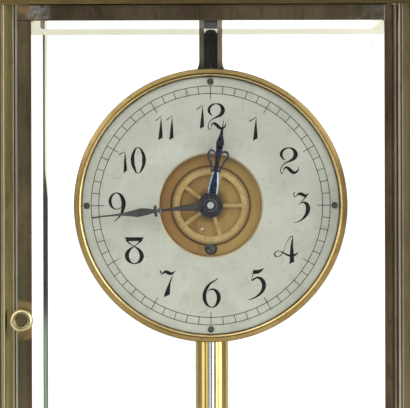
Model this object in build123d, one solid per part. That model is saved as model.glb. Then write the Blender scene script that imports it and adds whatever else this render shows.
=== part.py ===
from build123d import *
from math import asin, atan2, cos, degrees, pi, radians, sin, sqrt
import os

# A four-glass shelf clock: a brass case with bevelled glass on all sides, and inside it a round
# movement on a column, with a silvered ring dial, an open centre that shows the wheel work, and
# an electric pendulum whose coil swings over a curved bar magnet.
# X runs to the right, Y to the back and Z up. The origin is under the middle of the plinth.
# All lengths are in millimetres and all angles in degrees.

# Case
body_width = 199.0
body_depth = 152.0
bracket_headroom = 5.2
coil_floor_clearance = 16.5
plinth_height = 38.0
plinth_projection = 13.5
plinth_foot_band = 12.0
plinth_ovolo = 3.0
plinth_fillet = 2.0
plinth_cove = 8.0
plinth_edge = 1.0
plinth_bead = 3.0
plinth_shell = 5.5
plinth_ledge = 3.0
plinth_boss_radius = 6.0
floor_thickness = 4.0
floor_seat = 4.0
floor_opening_inset = 15.5
cover_thickness = 1.8
cover_seat = 1.8
cover_recess = 1.2
cornice_height = 28.0
cornice_base_projection = 2.5
cornice_base_band = 8.0
cornice_cove = 8.0
cornice_crown = 2.0
cornice_crown_band = 6.0
cornice_crown_round = 2.5
cornice_step = 3.0
cornice_top_bevel = 2.5
cornice_shell = 4.5
cornice_flange = 5.0
cornice_opening_inset = 14.0
cornice_top_thickness = 3.0
seat_clearance = 0.2

# Posts
post_size = 10.0
post_rebate = 3.3
post_rebate_depth = 1.6
post_bead = 0.95
post_flat = 3.4
post_step_depth = 1.5
groove_depth = 2.5
groove_inset = 2.45
glass_edge_clearance = 0.05

# Bevelled glass
glass_thickness = 3.5
glass_edge = 1.9
glass_bevel = 7.15

# Doors
door_thickness = 5.0
door_stile = 6.5
door_rail = 7.2
door_gap = 0.3
door_end_gap = 0.4
door_glass_overlap = 2.0
door_glass_back = 0.3
door_edge_chamfer = 0.4
hinge_pin_radius = 1.2
hinge_pin_seat = 6.0
hinge_pin_reach = 3.5
hinge_hole_extra = 0.5
running_clearance = 0.05

# Door catch
catch_height = 148.0
catch_inset = 1.8
catch_shaft_radius = 0.9
knob_radius = 5.45
knob_depth = 4.0
knob_rim = 1.5
knob_dish = 1.0
knob_neck_radius = 2.2
knob_neck = 1.2
latch_length = 4.6
latch_half_width = 1.0
latch_thickness = 1.0
latch_gap = 0.2
mortise_clearance = 0.3

# Column
column_y = 22.0
column_radius = 8.05
column_foot_radius = 14.0
column_foot = 2.5
column_cap_radius = 11.0
column_cap = 3.0
column_collar = 1.25
column_moulding = 3.0
column_cove = 4.0
column_bolt_radius = 3.0
column_bolt_reach = 5.5
nut_radius = 5.5
nut_thickness = 3.2

# Movement frame, measured from the middle of the dial
movement_x = 1.0
dial_front_y = -45.0
dial_thickness = 1.0
dial_outer_radius = 62.5
dial_opening_radius = 24.45
dial_bevel = 0.8
carrier_thickness = 1.6
carrier_inner_radius = 47.0
carrier_rim = 0.1
dial_feet_circle = 49.5
dial_feet_radius = 2.2
dial_feet_length = 2.9
dial_spigot_radius = 1.1
plate_radius = 52.0
plate_thickness = 2.5
plate_gap = 22.0
pillar_circle = 44.0
pillar_radius = 3.6
pillar_waist = 2.6
pillar_collar = 3.5
dial_screw_circle = 58.8
dial_screw_head = 1.5
dial_screw_shank = 0.9
dial_screw_rise = 0.8
bezel_radius = 64.6
bezel_inner_radius = 60.9
bezel_rise = 4.0
bezel_skirt = 3.4
bezel_wall = 1.6
bezel_bead = 2.0
bezel_slope_foot = 1.0

# Screws of the movement
screw_head_radius = 2.2
screw_head = 1.3
screw_shank_radius = 1.2
screw_length = 6.0
screw_slot = 0.5
bracket_screw_x = 5.6
bracket_screw_z = 47.0
saddle_screw_x = 18.5
saddle_screw_z = -30.0
click_screw_x = 17.0
click_screw_z = 9.0

# Saddle on top of the column
saddle_top_z = -22.0
saddle_bottom_z = -38.0
saddle_plate = 4.0
saddle_arm_inner = 15.0
saddle_arm = 7.0
saddle_margin = 11.5

# Wheel train
motion_module = 0.4088
hour_module = 0.3028
train_module = 0.45
hour_teeth = 120
hour_pinion_teeth = 15
cannon_teeth = 40
minute_teeth = 60
center_teeth = 64
third_teeth = 60
pinion_leaves = 8
third_arbor_angle = 40.0
ratchet_teeth = 60
ratchet_radius = 11.0
ratchet_tooth_depth = 0.9
wheel_thickness = 1.0
hour_wheel_thickness = 1.2
hour_wheel_gap = 1.9
hour_rim_radius = 14.8
hour_hub_radius = 4.6
hour_spoke = 1.7
hour_spokes = 5
pipe_radius = 2.6
pipe_length = 8.0
arbor_radius = 1.6
arbor_shoulder_radius = 1.9
arbor_pivot_radius = 0.8
small_arbor_radius = 1.2
small_pivot_radius = 0.7
minute_arbor_radius = 1.0
pivot_depth = 1.6
shoulder_gap = 0.4
cannon_gap = 1.5
center_wheel_gap = 6.0
third_wheel_gap = 12.0
pinion_overhang = 1.0
ratchet_gap = 0.6
ratchet_thickness = 1.2
ratchet_pivot_radius = 1.0
click_leaf = 0.5

# Shapes of the teeth: heights in modules, thicknesses as shares of the pitch
tooth_addendum = 1.0
tooth_dedendum = 1.15
motion_addendum = 0.9
motion_dedendum = 1.1
leaf_addendum = 0.8
leaf_dedendum = 1.25
rim_modules = 4.0
tooth_root_share = 0.58
tooth_tip_share = 0.16
pinion_root_share = 0.5
train_pitch_share = 0.4
leaf_share = 0.34

# Hands
hand_thickness = 0.8
hand_gap = 2.2
hour_hand_angle = 8.8
minute_hand_angle = 264.3
hour_hand_length = 40.7
minute_hand_length = 56.2
hour_collet_radius = 5.0
minute_collet_radius = 4.6
minute_sleeve_radius = 2.3
boss_radius = 5.96
boss_thickness = 2.0
boss_groove = 0.3
arbor_tip = 0.9
hand_bar_width = 1.2
hour_stem_half_width = 2.1
hour_node_share = 0.39
hour_node_half_width = 1.6
hour_bar_half_width = 2.2
hour_spine_half_width = 0.8
hour_leaf_foot_share = 0.64
hour_leaf_foot_half_width = 1.1
hour_leaf_share = 0.71
hour_leaf_half_width = 1.85
hour_neck_share = 0.85
hour_neck_half_width = 0.5
scroll_width = 0.7
scroll_height = 9.9
scroll_reach = 4.2
minute_stem_half_width = 1.9
minute_collar_share = 0.43
minute_collar_half_width = 1.25
minute_collar_foot = 1.5
minute_bar_share = 0.462
minute_bar_half_width = 2.55
minute_waist_half_width = 0.65
minute_leaf_share = 0.604
minute_leaf_half_width = 2.0
minute_neck_share = 0.715
minute_neck_half_width = 0.75
minute_tip_half_width = 0.15
arbor_slot = 0.5
seat_fit = 0.02

# Suspension, crutch and pendulum
suspension_height = 62.0
pendulum_gap = 7.0
bracket_top = 89.0
bracket_half_width = 5.575
bracket_cheek = 2.25
bracket_cheek_depth = 11.5
bracket_thickness = 2.5
bracket_foot_z = 43.2
bracket_foot_half_width = 8.0
bracket_shoulder = 2.0
bracket_flare = 5.5
bracket_bridge = 2.2
bracket_bridge_inset = 1.5
block_top = 85.4
block_bottom = 66.0
block_depth = 8.0
block_corner = 0.9
block_slit = 0.4
block_slit_top = 82.0
spring_thickness = 0.2
spring_width = 3.0
spring_grip = 3.0
chops_top = 58.0
chops_bottom = 50.0
chops_half_width = 3.0
chops_depth = 4.4
chops_slot_depth = 3.8
rod_radius = 1.6
rod_grip = 3.9
crutch_gap = 2.9
crutch_thickness = 1.4
crutch_hub_radius = 2.6
crutch_stud_radius = 1.2
crutch_half_width = 1.3
crutch_tip_half_width = 0.9
crutch_fork_z = -8.0
crutch_fork_pin = 0.6
crutch_fork_clearance = 0.15
pawl_pivot_x = -6.0
pawl_pivot_z = 38.5
pawl_hub_radius = 1.3
pawl_pin_radius = 0.6
pawl_clearance = 0.3
click_thickness = 1.8
bob_drop = 229.8
coil_radius = 15.5
coil_length = 31.0
bobbin_radius = 17.5
bobbin_flange = 2.5
bobbin_bore = 9.0
bobbin_wall = 1.0
hanger_band = 1.0
hanger_half_width = 4.0
sleeve_radius = 3.2
sleeve_length = 10.0
sleeve_foot = 1.0
rod_end_clearance = 2.1
nut_clearance = 0.2
rating_nut_radius = 4.6
rating_nut_height = 4.0
rating_nut_sides = 24

# Magnet and power
magnet_radius = 6.0
magnet_half_angle = 15.0
magnet_tenon_radius = 4.0
magnet_tenon = 7.0
support_radius = 7.0
support_rise = 10.0
support_foot_radius = 10.0
support_foot = 3.0
battery_radius = 13.1
battery_length = 50.0
battery_cap_radius = 4.0
battery_cap = 1.5
battery_margin = 9.5
battery_clearance = 0.1
lead_radius = 0.9
lead_bend = 9.0
lead_run = 13.5

# Case screws
case_screw_radius = 2.0
case_screw_head_radius = 3.5
case_screw_head = 2.5
case_screw_counterbore = 8.5
case_screw_grip = 14.0

# Planes and places that follow from the sizes above
case_half_x = body_width / 2
case_half_y = body_depth / 2
dial_height = plinth_height + coil_floor_clearance + bobbin_radius + bob_drop - suspension_height
post_top = dial_height + bracket_top + bracket_headroom
body_height = post_top - plinth_height
total_height = post_top + cornice_height
door_front_y = -case_half_y
door_back_y = door_front_y + door_thickness
door_half_x = case_half_x - post_size - door_gap
door_low_z = plinth_height + door_end_gap
door_high_z = post_top - door_end_gap
opening_half_x = door_half_x - door_stile
opening_low_z = door_low_z + door_rail
opening_high_z = door_high_z - door_rail
hinge_x = door_half_x - door_thickness / 2
hinge_y = door_front_y + door_thickness / 2
door_glass_y = door_back_y - door_glass_back
catch_x = -door_half_x + catch_inset
catch_z = plinth_height + catch_height
dial_back_y = dial_front_y + dial_thickness
carrier_back_y = dial_back_y + carrier_thickness
carrier_radius = dial_outer_radius + carrier_rim
front_plate_y = carrier_back_y + dial_feet_length
train_front_y = front_plate_y + plate_thickness
back_plate_y = train_front_y + plate_gap
works_back_y = back_plate_y + plate_thickness
pendulum_y = works_back_y + pendulum_gap
hour_wheel_y = front_plate_y - hour_wheel_gap
hour_hand_y = hour_wheel_y - hour_wheel_thickness - pipe_length
minute_hand_y = hour_hand_y - hand_gap
boss_y = minute_hand_y - hand_thickness
ratchet_y = works_back_y + ratchet_gap
crutch_y = works_back_y + crutch_gap
block_half_width = bracket_half_width - bracket_cheek - running_clearance
bob_z = suspension_height - bob_drop
saddle_floor_z = dial_height + saddle_bottom_z
battery_reach = battery_length / 2 + lead_run + battery_margin
battery_x = battery_reach - case_half_x + floor_opening_inset

# Arbor places: the minute arbor is under the middle, and the third arbor is up to the right
minute_arbor = (0.0, -hour_module * (hour_teeth + hour_pinion_teeth) / 2)
third_reach = train_module * (center_teeth + pinion_leaves) / 2
third_arbor = (
    third_reach * cos(radians(third_arbor_angle)),
    third_reach * sin(radians(third_arbor_angle)),
)
ratchet_reach = train_module * (third_teeth + pinion_leaves) / 2
ratchet_arbor = (0.0, third_arbor[1] + sqrt(ratchet_reach**2 - third_arbor[0] ** 2))


def save(solid, name):
    """Write one piece to its own file."""
    export_step(solid, f"parts/{name}.step")


def along_y(sketch, front_y, back_y):
    """A sketch in X and Z, seen from the front, made solid from front_y back to back_y."""
    return extrude(Plane.XZ.offset(-back_y) * sketch, amount=back_y - front_y)


def disc(radius, front_y, back_y, x=0.0, z=0.0):
    """A round bar along Y."""
    return along_y(Pos(x, z) * Circle(radius), front_y, back_y)


def ring(outer, inner, front_y, back_y):
    """A flat ring that faces the front."""
    return along_y(Circle(outer) - Circle(inner), front_y, back_y)


def block(x_low, x_high, y_low, y_high, z_low, z_high):
    """A rectangular block between two corners."""
    size = Box(x_high - x_low, y_high - y_low, z_high - z_low)
    return Pos((x_low + x_high) / 2, (y_low + y_high) / 2, (z_low + z_high) / 2) * size


def upright(radius, z_low, z_high, x=0.0, y=0.0):
    """A round bar along Z."""
    return Pos(x, y, (z_low + z_high) / 2) * Cylinder(radius, z_high - z_low)


def turned_y(edges):
    """A shape turned about Y, from an outline drawn with the radius as X and the depth as Y."""
    return revolve(make_face(edges), Axis.Y)


def turned_z(edges):
    """A shape turned about Z, from an outline drawn with the radius as X and the height as Z."""
    return revolve(Plane.XZ * make_face(edges), Axis.Z)


def on_circle(radius, count, start=0.0):
    """Places evenly spaced on a circle, as pairs of X and Z."""
    angles = [radians(start + 360 * number / count) for number in range(count)]
    return [(radius * cos(angle), radius * sin(angle)) for angle in angles]


def in_movement(solid):
    """Carry a piece that is drawn about the middle of the dial to its place in the case."""
    return Pos(movement_x, 0, dial_height) * solid


# Case mouldings


def moulded_block(outline):
    """A block whose four sides all have one moulding, mitred at the corners."""
    across = extrude(Plane.XZ * mirrored_face(outline(case_half_x)), amount=body_width, both=True)
    along = extrude(Plane.YZ * mirrored_face(outline(case_half_y)), amount=body_width, both=True)
    return across & along


def mirrored_face(right):
    """A closed face from the edges of its right side, given from the bottom up."""
    left = [edge.mirror(Plane.YZ) for edge in right]
    low = right[0] @ 0
    high = right[-1] @ 1
    foot = Line((-low.X, low.Y), (low.X, low.Y))
    top = Line((-high.X, high.Y), (high.X, high.Y))
    return make_face([foot, *right, top, *left])


def plinth_outline(half):
    """The right side of the plinth: foot band, ovolo, cove and a beaded top band."""
    outer = half + plinth_projection
    inner = outer - plinth_ovolo
    neck = inner - plinth_cove
    band_z = plinth_foot_band - plinth_ovolo
    cove_z = plinth_foot_band + plinth_fillet
    bead_z = plinth_height - plinth_bead
    slant = sqrt(0.5)
    return [
        Line((outer - plinth_edge, 0), (outer, plinth_edge)),
        Line((outer, plinth_edge), (outer, band_z)),
        ThreePointArc(
            (outer, band_z),
            (inner + plinth_ovolo * slant, band_z + plinth_ovolo * slant),
            (inner, plinth_foot_band),
        ),
        Line((inner, plinth_foot_band), (inner, cove_z)),
        ThreePointArc(
            (inner, cove_z),
            (inner - plinth_cove * slant, cove_z + plinth_cove * (1 - slant)),
            (neck, cove_z + plinth_cove),
        ),
        Line((neck, cove_z + plinth_cove), (neck, bead_z)),
        ThreePointArc(
            (neck, bead_z),
            (neck + plinth_bead / 2, bead_z + plinth_bead / 2),
            (neck, plinth_height),
        ),
    ]


def cornice_outline(half):
    """The right side of the cornice: base band, cove, rounded crown and a top step."""
    base = half + cornice_base_projection
    brow = base + cornice_cove
    crown = brow + cornice_crown
    cove_z = post_top + cornice_base_band
    crown_z = cove_z + cornice_cove
    round_z = crown_z + cornice_crown_band
    step_z = round_z + cornice_crown_round
    shelf = crown - cornice_crown_round
    top = shelf - cornice_step
    bevel_z = total_height - cornice_top_bevel
    slant = sqrt(0.5)
    return [
        Line((base, post_top), (base, cove_z)),
        ThreePointArc(
            (base, cove_z),
            (brow - cornice_cove * slant, cove_z + cornice_cove * slant),
            (brow, crown_z),
        ),
        Line((brow, crown_z), (crown, crown_z)),
        Line((crown, crown_z), (crown, round_z)),
        ThreePointArc(
            (crown, round_z),
            (crown - cornice_crown_round * (1 - slant), round_z + cornice_crown_round * slant),
            (shelf, step_z),
        ),
        Line((shelf, step_z), (top, step_z)),
        Line((top, step_z), (top, bevel_z)),
        Line((top, bevel_z), (top - cornice_top_bevel, total_height)),
    ]


def corner_places(x, y):
    """The four corners of a rectangle about the middle."""
    return [(x, y), (-x, y), (-x, -y), (x, -y)]


def post_axis():
    """The place of a post's case screw, in the middle of its section."""
    return case_half_x - post_size / 2, case_half_y - post_size / 2


def inner_block(inset, z_low, z_high):
    """A block inside the case, whose sides are all the same distance inside the posts' faces."""
    x = case_half_x - inset
    y = case_half_y - inset
    return block(-x, x, -y, y, z_low, z_high)


def plinth():
    """The moulded plinth, hollow for the battery, with seats for the floor and the cover."""
    neck = plinth_projection - plinth_ovolo - plinth_cove
    hollow_inset = plinth_shell - neck
    cover_top = cover_recess + cover_thickness
    seat_z = plinth_height - floor_thickness
    ledge_z = seat_z - plinth_ledge
    shell = moulded_block(plinth_outline)
    shell -= inner_block(hollow_inset, cover_top, ledge_z)
    for x, y in corner_places(*post_axis()):
        shell += upright(plinth_boss_radius, cover_top, ledge_z, x, y)
    shell -= inner_block(floor_opening_inset, ledge_z, plinth_height)
    shell -= inner_block(floor_opening_inset - floor_seat, seat_z, plinth_height)
    shell -= inner_block(hollow_inset - cover_seat, 0, cover_top)
    for x, y in corner_places(*post_axis()):
        shell -= upright(case_screw_head_radius + seat_clearance, 0, case_screw_counterbore, x, y)
        shell -= upright(case_screw_radius + seat_fit, 0, plinth_height, x, y)
    reach = hinge_pin_reach + hinge_hole_extra
    for side in (1, -1):
        x = side * hinge_x
        y = side * hinge_y
        hole = hinge_pin_radius + running_clearance
        shell -= upright(hole, plinth_height - reach, plinth_height, x, y)
    return shell


def floor_plate():
    """The floor inside the case, in its seat in the plinth, bored for the column's bolt."""
    inset = floor_opening_inset - floor_seat + seat_clearance
    low_z = plinth_height - floor_thickness
    bolt = upright(column_bolt_radius + seat_fit, low_z, plinth_height, movement_x, column_y)
    return inner_block(inset, low_z, plinth_height) - bolt


def bottom_cover():
    """The plate that closes the plinth from below."""
    neck = plinth_projection - plinth_ovolo - plinth_cove
    inset = plinth_shell - neck - cover_seat + seat_clearance
    return inner_block(inset, cover_recess, cover_recess + cover_thickness)


def case_fasteners():
    """Four long screws up into the posts, and the two nuts on the column's bolts."""
    pieces = []
    for x, y in corner_places(*post_axis()):
        head_z = case_screw_counterbore - case_screw_head
        head = upright(case_screw_head_radius, head_z, case_screw_counterbore, x, y)
        shank_top = plinth_height + case_screw_grip
        pieces.append(head + upright(case_screw_radius, case_screw_counterbore, shank_top, x, y))
    floor_z = plinth_height - floor_thickness
    saddle_z = saddle_floor_z + saddle_plate
    for low_z in (floor_z - nut_thickness, saddle_z):
        hexagon = Pos(movement_x, column_y, low_z) * RegularPolygon(nut_radius, 6)
        nut = extrude(hexagon, amount=nut_thickness)
        bore = column_bolt_radius + seat_fit
        nut -= upright(bore, low_z, low_z + nut_thickness, movement_x, column_y)
        pieces.append(nut)
    return Part() + pieces


def post_section():
    """The moulded section of the post at the right rear, with a bead beside each face."""
    crown = post_rebate + post_bead
    flat = post_rebate + 2 * post_bead
    step = flat + post_flat
    front = [
        Line((post_rebate_depth, post_rebate_depth), (post_rebate, post_rebate_depth)),
        Line((post_rebate, post_rebate_depth), (post_rebate, post_bead)),
        ThreePointArc((post_rebate, post_bead), (crown, 0), (flat, post_bead)),
        Line((flat, post_bead), (step, post_bead)),
        Line((step, post_bead), (step, post_step_depth)),
        Line((step, post_step_depth), (post_size, post_step_depth)),
        Line((post_size, post_step_depth), (post_size, post_size)),
    ]
    diagonal = Plane(origin=(0, 0, 0), z_dir=(1, -1, 0))
    side = [edge.mirror(diagonal) for edge in front]
    corner = make_face(front + side).rotate(Axis.Z, 180)
    return Pos(case_half_x, case_half_y) * corner


def post(side_x, side_y):
    """One corner post with its glass groove, moved to its corner by mirroring."""
    body = extrude(Pos(0, 0, plinth_height) * post_section(), amount=body_height)
    inner_x = case_half_x - post_size + groove_inset
    bevel_share = groove_depth / glass_bevel
    width = glass_edge + (glass_thickness - glass_edge) * bevel_share + 2 * glass_edge_clearance
    inner_y = case_half_y - post_size
    groove_x = inner_x - glass_edge_clearance
    groove_y = inner_y + groove_depth
    body -= block(groove_x, groove_x + width, inner_y, groove_y, plinth_height, post_top)
    x, y = post_axis()
    screw_top = plinth_height + case_screw_grip
    body -= upright(case_screw_radius + seat_fit, plinth_height, screw_top, x, y)
    if side_x < 0:
        body = mirror(body, about=Plane.YZ)
    if side_y < 0:
        body = mirror(body, about=Plane.XZ)
    if side_x * side_y > 0:
        body -= latch_mortise(side_x)
    return body


def latch_mortise(side):
    """The pocket in a post that the latch turns into; side is -1 at the front, 1 at the back."""
    reach = sqrt(latch_length**2 + latch_half_width**2) + mortise_clearance
    back_y = door_back_y + latch_gap + latch_thickness + mortise_clearance
    front_y = door_back_y + latch_gap - mortise_clearance
    low_z = catch_z - reach
    high_z = catch_z + latch_half_width + mortise_clearance
    inner_x = door_half_x + door_gap
    pocket = block(catch_x - reach, -inner_x, front_y, back_y, low_z, high_z)
    return pocket if side < 0 else pocket.rotate(Axis.Z, 180)


def cornice():
    """The moulded cornice with its flat top, hollow above the flange that the posts meet."""
    flange_z = post_top + cornice_flange
    ceiling = total_height - cornice_top_thickness
    shell = moulded_block(cornice_outline)
    shell -= inner_block(cornice_opening_inset, post_top, flange_z)
    shell -= inner_block(cornice_shell - cornice_base_projection, flange_z, ceiling)
    reach = hinge_pin_reach + hinge_hole_extra
    for side in (1, -1):
        hole = hinge_pin_radius + running_clearance
        shell -= upright(hole, post_top, post_top + reach, side * hinge_x, side * hinge_y)
    return shell


def bevelled_glass(half_width, low_z, high_z, back_y):
    """A sheet that faces the front, ground to a wide bevel on its outer side."""
    middle = (low_z + high_z) / 2
    height = high_z - low_z
    edge_y = back_y - glass_edge
    outline = Pos(0, middle) * Rectangle(2 * half_width, height)
    crown = Pos(0, middle) * Rectangle(2 * (half_width - glass_bevel), height - 2 * glass_bevel)
    front = Plane.XZ.offset(glass_thickness - back_y) * crown
    bevel = loft([Plane.XZ.offset(-edge_y) * outline, front], ruled=True)
    return along_y(outline, edge_y, back_y) + bevel


def side_glass(side):
    """A side glass in the grooves of its two posts."""
    half_width = case_half_y - post_size + groove_depth - glass_edge_clearance
    inner_x = case_half_x - post_size + groove_inset
    sheet = bevelled_glass(half_width, plinth_height, post_top, -inner_x)
    return sheet.rotate(Axis.Z, 90 * side)


# Doors


def door_frame():
    """The front door's frame, with a half-round hinge edge and a rebate behind for the glass."""
    frame = block(-door_half_x, hinge_x, door_front_y, door_back_y, door_low_z, door_high_z)
    frame += upright(door_thickness / 2, door_low_z, door_high_z, hinge_x, hinge_y)
    light = block(
        -opening_half_x, opening_half_x, door_front_y, door_back_y, opening_low_z, opening_high_z
    )
    frame -= light
    seen = door_glass_overlap - seat_clearance
    rise = (glass_thickness - glass_edge) * seen / glass_bevel
    lip_y = door_glass_y - glass_edge - rise - running_clearance
    wide = opening_half_x + door_glass_overlap
    low_z = opening_low_z - door_glass_overlap
    high_z = opening_high_z + door_glass_overlap
    frame -= block(-wide, wide, lip_y, door_back_y, low_z, high_z)
    front = frame.edges().filter_by_position(Axis.Y, door_front_y - 0.01, door_front_y + 0.01)
    inner = [edge for edge in front if abs((edge @ 0.5).X) < opening_half_x + 0.01]
    inner = [edge for edge in inner if opening_low_z - 0.01 < (edge @ 0.5).Z < opening_high_z + 0.01]
    frame = chamfer(inner, door_edge_chamfer)
    for low, high in hinge_pin_spans():
        frame -= upright(hinge_pin_radius + seat_fit, low, high, hinge_x, hinge_y)
    hole = catch_shaft_radius + running_clearance
    return frame - disc(hole, door_front_y, door_back_y, catch_x, catch_z)


def hinge_pin_spans():
    """The lower and upper ends of the two hinge pins, each half in the door and half out."""
    low = (plinth_height - hinge_pin_reach, door_low_z + hinge_pin_seat)
    high = (door_high_z - hinge_pin_seat, post_top + hinge_pin_reach)
    return [low, high]


def door_pins():
    """The two pins that the door turns on."""
    spans = hinge_pin_spans()
    return Part() + [upright(hinge_pin_radius, low, high, hinge_x, hinge_y) for low, high in spans]


def door_glass():
    """The bevelled glass behind the door's lip."""
    half_width = opening_half_x + door_glass_overlap - seat_clearance
    low_z = opening_low_z - door_glass_overlap + seat_clearance
    high_z = opening_high_z + door_glass_overlap - seat_clearance
    return bevelled_glass(half_width, low_z, high_z, door_glass_y)


def door_knob():
    """The dished knob with its neck, and the shaft that goes through the stile."""
    back_y = door_front_y - door_gap
    face_y = back_y - knob_neck - knob_depth
    rim_inner = knob_radius - 2 * knob_rim
    shaft_end = door_back_y + latch_gap + latch_thickness
    edges = [
        Line((0, shaft_end), (catch_shaft_radius, shaft_end)),
        Line((catch_shaft_radius, shaft_end), (catch_shaft_radius, back_y)),
        Line((catch_shaft_radius, back_y), (knob_neck_radius, back_y)),
        Line((knob_neck_radius, back_y), (knob_neck_radius, back_y - knob_neck)),
        Line((knob_neck_radius, back_y - knob_neck), (knob_radius, back_y - 2 * knob_neck)),
        Line((knob_radius, back_y - 2 * knob_neck), (knob_radius, face_y + knob_rim)),
        ThreePointArc(
            (knob_radius, face_y + knob_rim),
            (knob_radius - knob_rim, face_y),
            (rim_inner, face_y + knob_dish),
        ),
        Line((rim_inner, face_y + knob_dish), (0, face_y + knob_dish)),
        Line((0, face_y + knob_dish), (0, shaft_end)),
    ]
    return Pos(catch_x, 0, catch_z) * turned_y(edges)


def door_latch():
    """The tongue on the knob's shaft, hanging down when the door is free."""
    front_y = door_back_y + latch_gap
    shape = Circle(2 * latch_half_width)
    tail = latch_length - latch_half_width
    shape += Pos(0, -tail / 2) * Rectangle(2 * latch_half_width, tail)
    shape += Pos(0, -tail) * Circle(latch_half_width)
    shape -= Circle(catch_shaft_radius + seat_fit)
    return along_y(Pos(catch_x, catch_z) * shape, front_y, front_y + latch_thickness)


def save_doors():
    """Both doors are alike; the rear one is turned half round about the case's axis."""
    pieces = {
        "frame": door_frame(),
        "glass": door_glass(),
        "pins": door_pins(),
        "knob": door_knob(),
        "latch": door_latch(),
    }
    for name, solid in pieces.items():
        save(solid, f"front_door_{name}")
        save(solid.rotate(Axis.Z, 180), f"rear_door_{name}")


# Column and movement frame


def column():
    """The turned column, with a bolt below for the floor and one above for the saddle."""
    floor_z = plinth_height
    top_z = saddle_floor_z
    foot_z = floor_z + column_foot
    ovolo_z = foot_z + column_moulding
    cove_z = ovolo_z + column_cove
    neck = column_radius + column_cove
    low_bolt = floor_z - floor_thickness - column_bolt_reach
    cap_z = top_z - column_cap
    flare_z = cap_z - column_moulding
    collar_z = flare_z - 2 * column_collar
    slant = sqrt(0.5)
    edges = [
        Line((0, low_bolt), (column_bolt_radius, low_bolt)),
        Line((column_bolt_radius, low_bolt), (column_bolt_radius, floor_z)),
        Line((column_bolt_radius, floor_z), (column_foot_radius, floor_z)),
        Line((column_foot_radius, floor_z), (column_foot_radius, foot_z)),
        Line((column_foot_radius, foot_z), (neck, ovolo_z)),
        ThreePointArc(
            (neck, ovolo_z),
            (neck - column_cove * slant, ovolo_z + column_cove * (1 - slant)),
            (column_radius, cove_z),
        ),
        Line((column_radius, cove_z), (column_radius, collar_z)),
        ThreePointArc(
            (column_radius, collar_z),
            (column_radius + column_collar, collar_z + column_collar),
            (column_radius, flare_z),
        ),
        Line((column_radius, flare_z), (column_cap_radius, cap_z)),
        Line((column_cap_radius, cap_z), (column_cap_radius, top_z)),
        Line((column_cap_radius, top_z), (column_bolt_radius, top_z)),
        Line((column_bolt_radius, top_z), (column_bolt_radius, top_z + saddle_plate + nut_thickness)),
        Line(
            (column_bolt_radius, top_z + saddle_plate + nut_thickness),
            (0, top_z + saddle_plate + nut_thickness),
        ),
        Line((0, top_z + saddle_plate + nut_thickness), (0, low_bolt)),
    ]
    return Pos(movement_x, column_y) * turned_z(edges)


def movement_saddle():
    """The fork that carries the movement: a plate on the column and an arm each side of the rod."""
    outer = saddle_arm_inner + saddle_arm
    front_y = column_y - saddle_margin
    back_y = column_y + saddle_margin
    plate_top = saddle_bottom_z + saddle_plate
    body = block(-outer, outer, front_y, back_y, saddle_bottom_z, plate_top)
    for side in (1, -1):
        low_x = min(side * saddle_arm_inner, side * outer)
        arm = block(low_x, low_x + saddle_arm, works_back_y, back_y, saddle_bottom_z, saddle_top_z)
        corner = arm.edges().filter_by(Axis.X).sort_by(lambda edge: edge.center().Y - edge.center().Z)
        body += chamfer(corner[-1], saddle_arm)
    for x, z in saddle_screw_places():
        grip = screw_length - plate_thickness
        body -= disc(screw_shank_radius + seat_fit, works_back_y, works_back_y + grip, x, z)
    body -= upright(column_bolt_radius + seat_fit, saddle_bottom_z, plate_top, 0, column_y)
    return in_movement(body)


def saddle_screw_places():
    """Where the back plate is screwed to the saddle's arms."""
    return [(-saddle_screw_x, saddle_screw_z), (saddle_screw_x, saddle_screw_z)]


def bracket_screw_places():
    """Where the suspension bracket is screwed to the back plate."""
    return [(-bracket_screw_x, bracket_screw_z), (bracket_screw_x, bracket_screw_z)]


def pillar_places():
    """The four pillars, at the corners of a square."""
    return on_circle(pillar_circle, 4, 45)


def movement_screw(x, seat_y, z, toward):
    """A slotted screw whose head sits at seat_y; toward is 1 where its point is to the back."""
    head = disc(screw_head_radius, seat_y - screw_head, seat_y, x, z)
    slot = block(
        x - screw_head_radius,
        x + screw_head_radius,
        seat_y - screw_head,
        seat_y - screw_head + screw_slot,
        z - screw_slot / 2,
        z + screw_slot / 2,
    )
    screw = head - slot + disc(screw_shank_radius, seat_y, seat_y + screw_length, x, z)
    if toward < 0:
        mirrored = mirror(screw, about=Plane.XZ)
        return Pos(0, 2 * seat_y, 0) * mirrored
    return screw


def movement_screws():
    """All the like screws of the movement."""
    screws = []
    for x, z in pillar_places():
        screws.append(movement_screw(x, front_plate_y, z, 1))
        screws.append(movement_screw(x, works_back_y, z, -1))
    for x, z in saddle_screw_places():
        screws.append(movement_screw(x, back_plate_y, z, 1))
    for x, z in bracket_screw_places():
        screws.append(movement_screw(x, works_back_y + bracket_thickness, z, -1))
    click_face = works_back_y + click_thickness
    screws.append(movement_screw(click_screw_x, click_face, click_screw_z, -1))
    return in_movement(Part() + screws)


def plate(front_y, back_y, holes):
    """A round plate with round holes, each hole a radius with its places."""
    shape = Circle(plate_radius)
    for radius, places in holes:
        for x, z in places:
            shape -= Pos(x, z) * Circle(radius)
    return along_y(shape, front_y, back_y)


def front_plate():
    """The front plate, with blind pivot holes behind for the arbors that stop there."""
    screw_hole = screw_shank_radius + running_clearance
    holes = [
        (arbor_radius + running_clearance, [(0, 0)]),
        (minute_arbor_radius + running_clearance, [minute_arbor]),
        (screw_hole, pillar_places()),
        (dial_spigot_radius + running_clearance, on_circle(dial_feet_circle, 4, 45)),
    ]
    body = plate(front_plate_y, train_front_y, holes)
    for x, z in (third_arbor, ratchet_arbor):
        pivot_hole = small_pivot_radius + running_clearance
        body -= disc(pivot_hole, train_front_y - pivot_depth, train_front_y, x, z)
    return in_movement(body)


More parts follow.
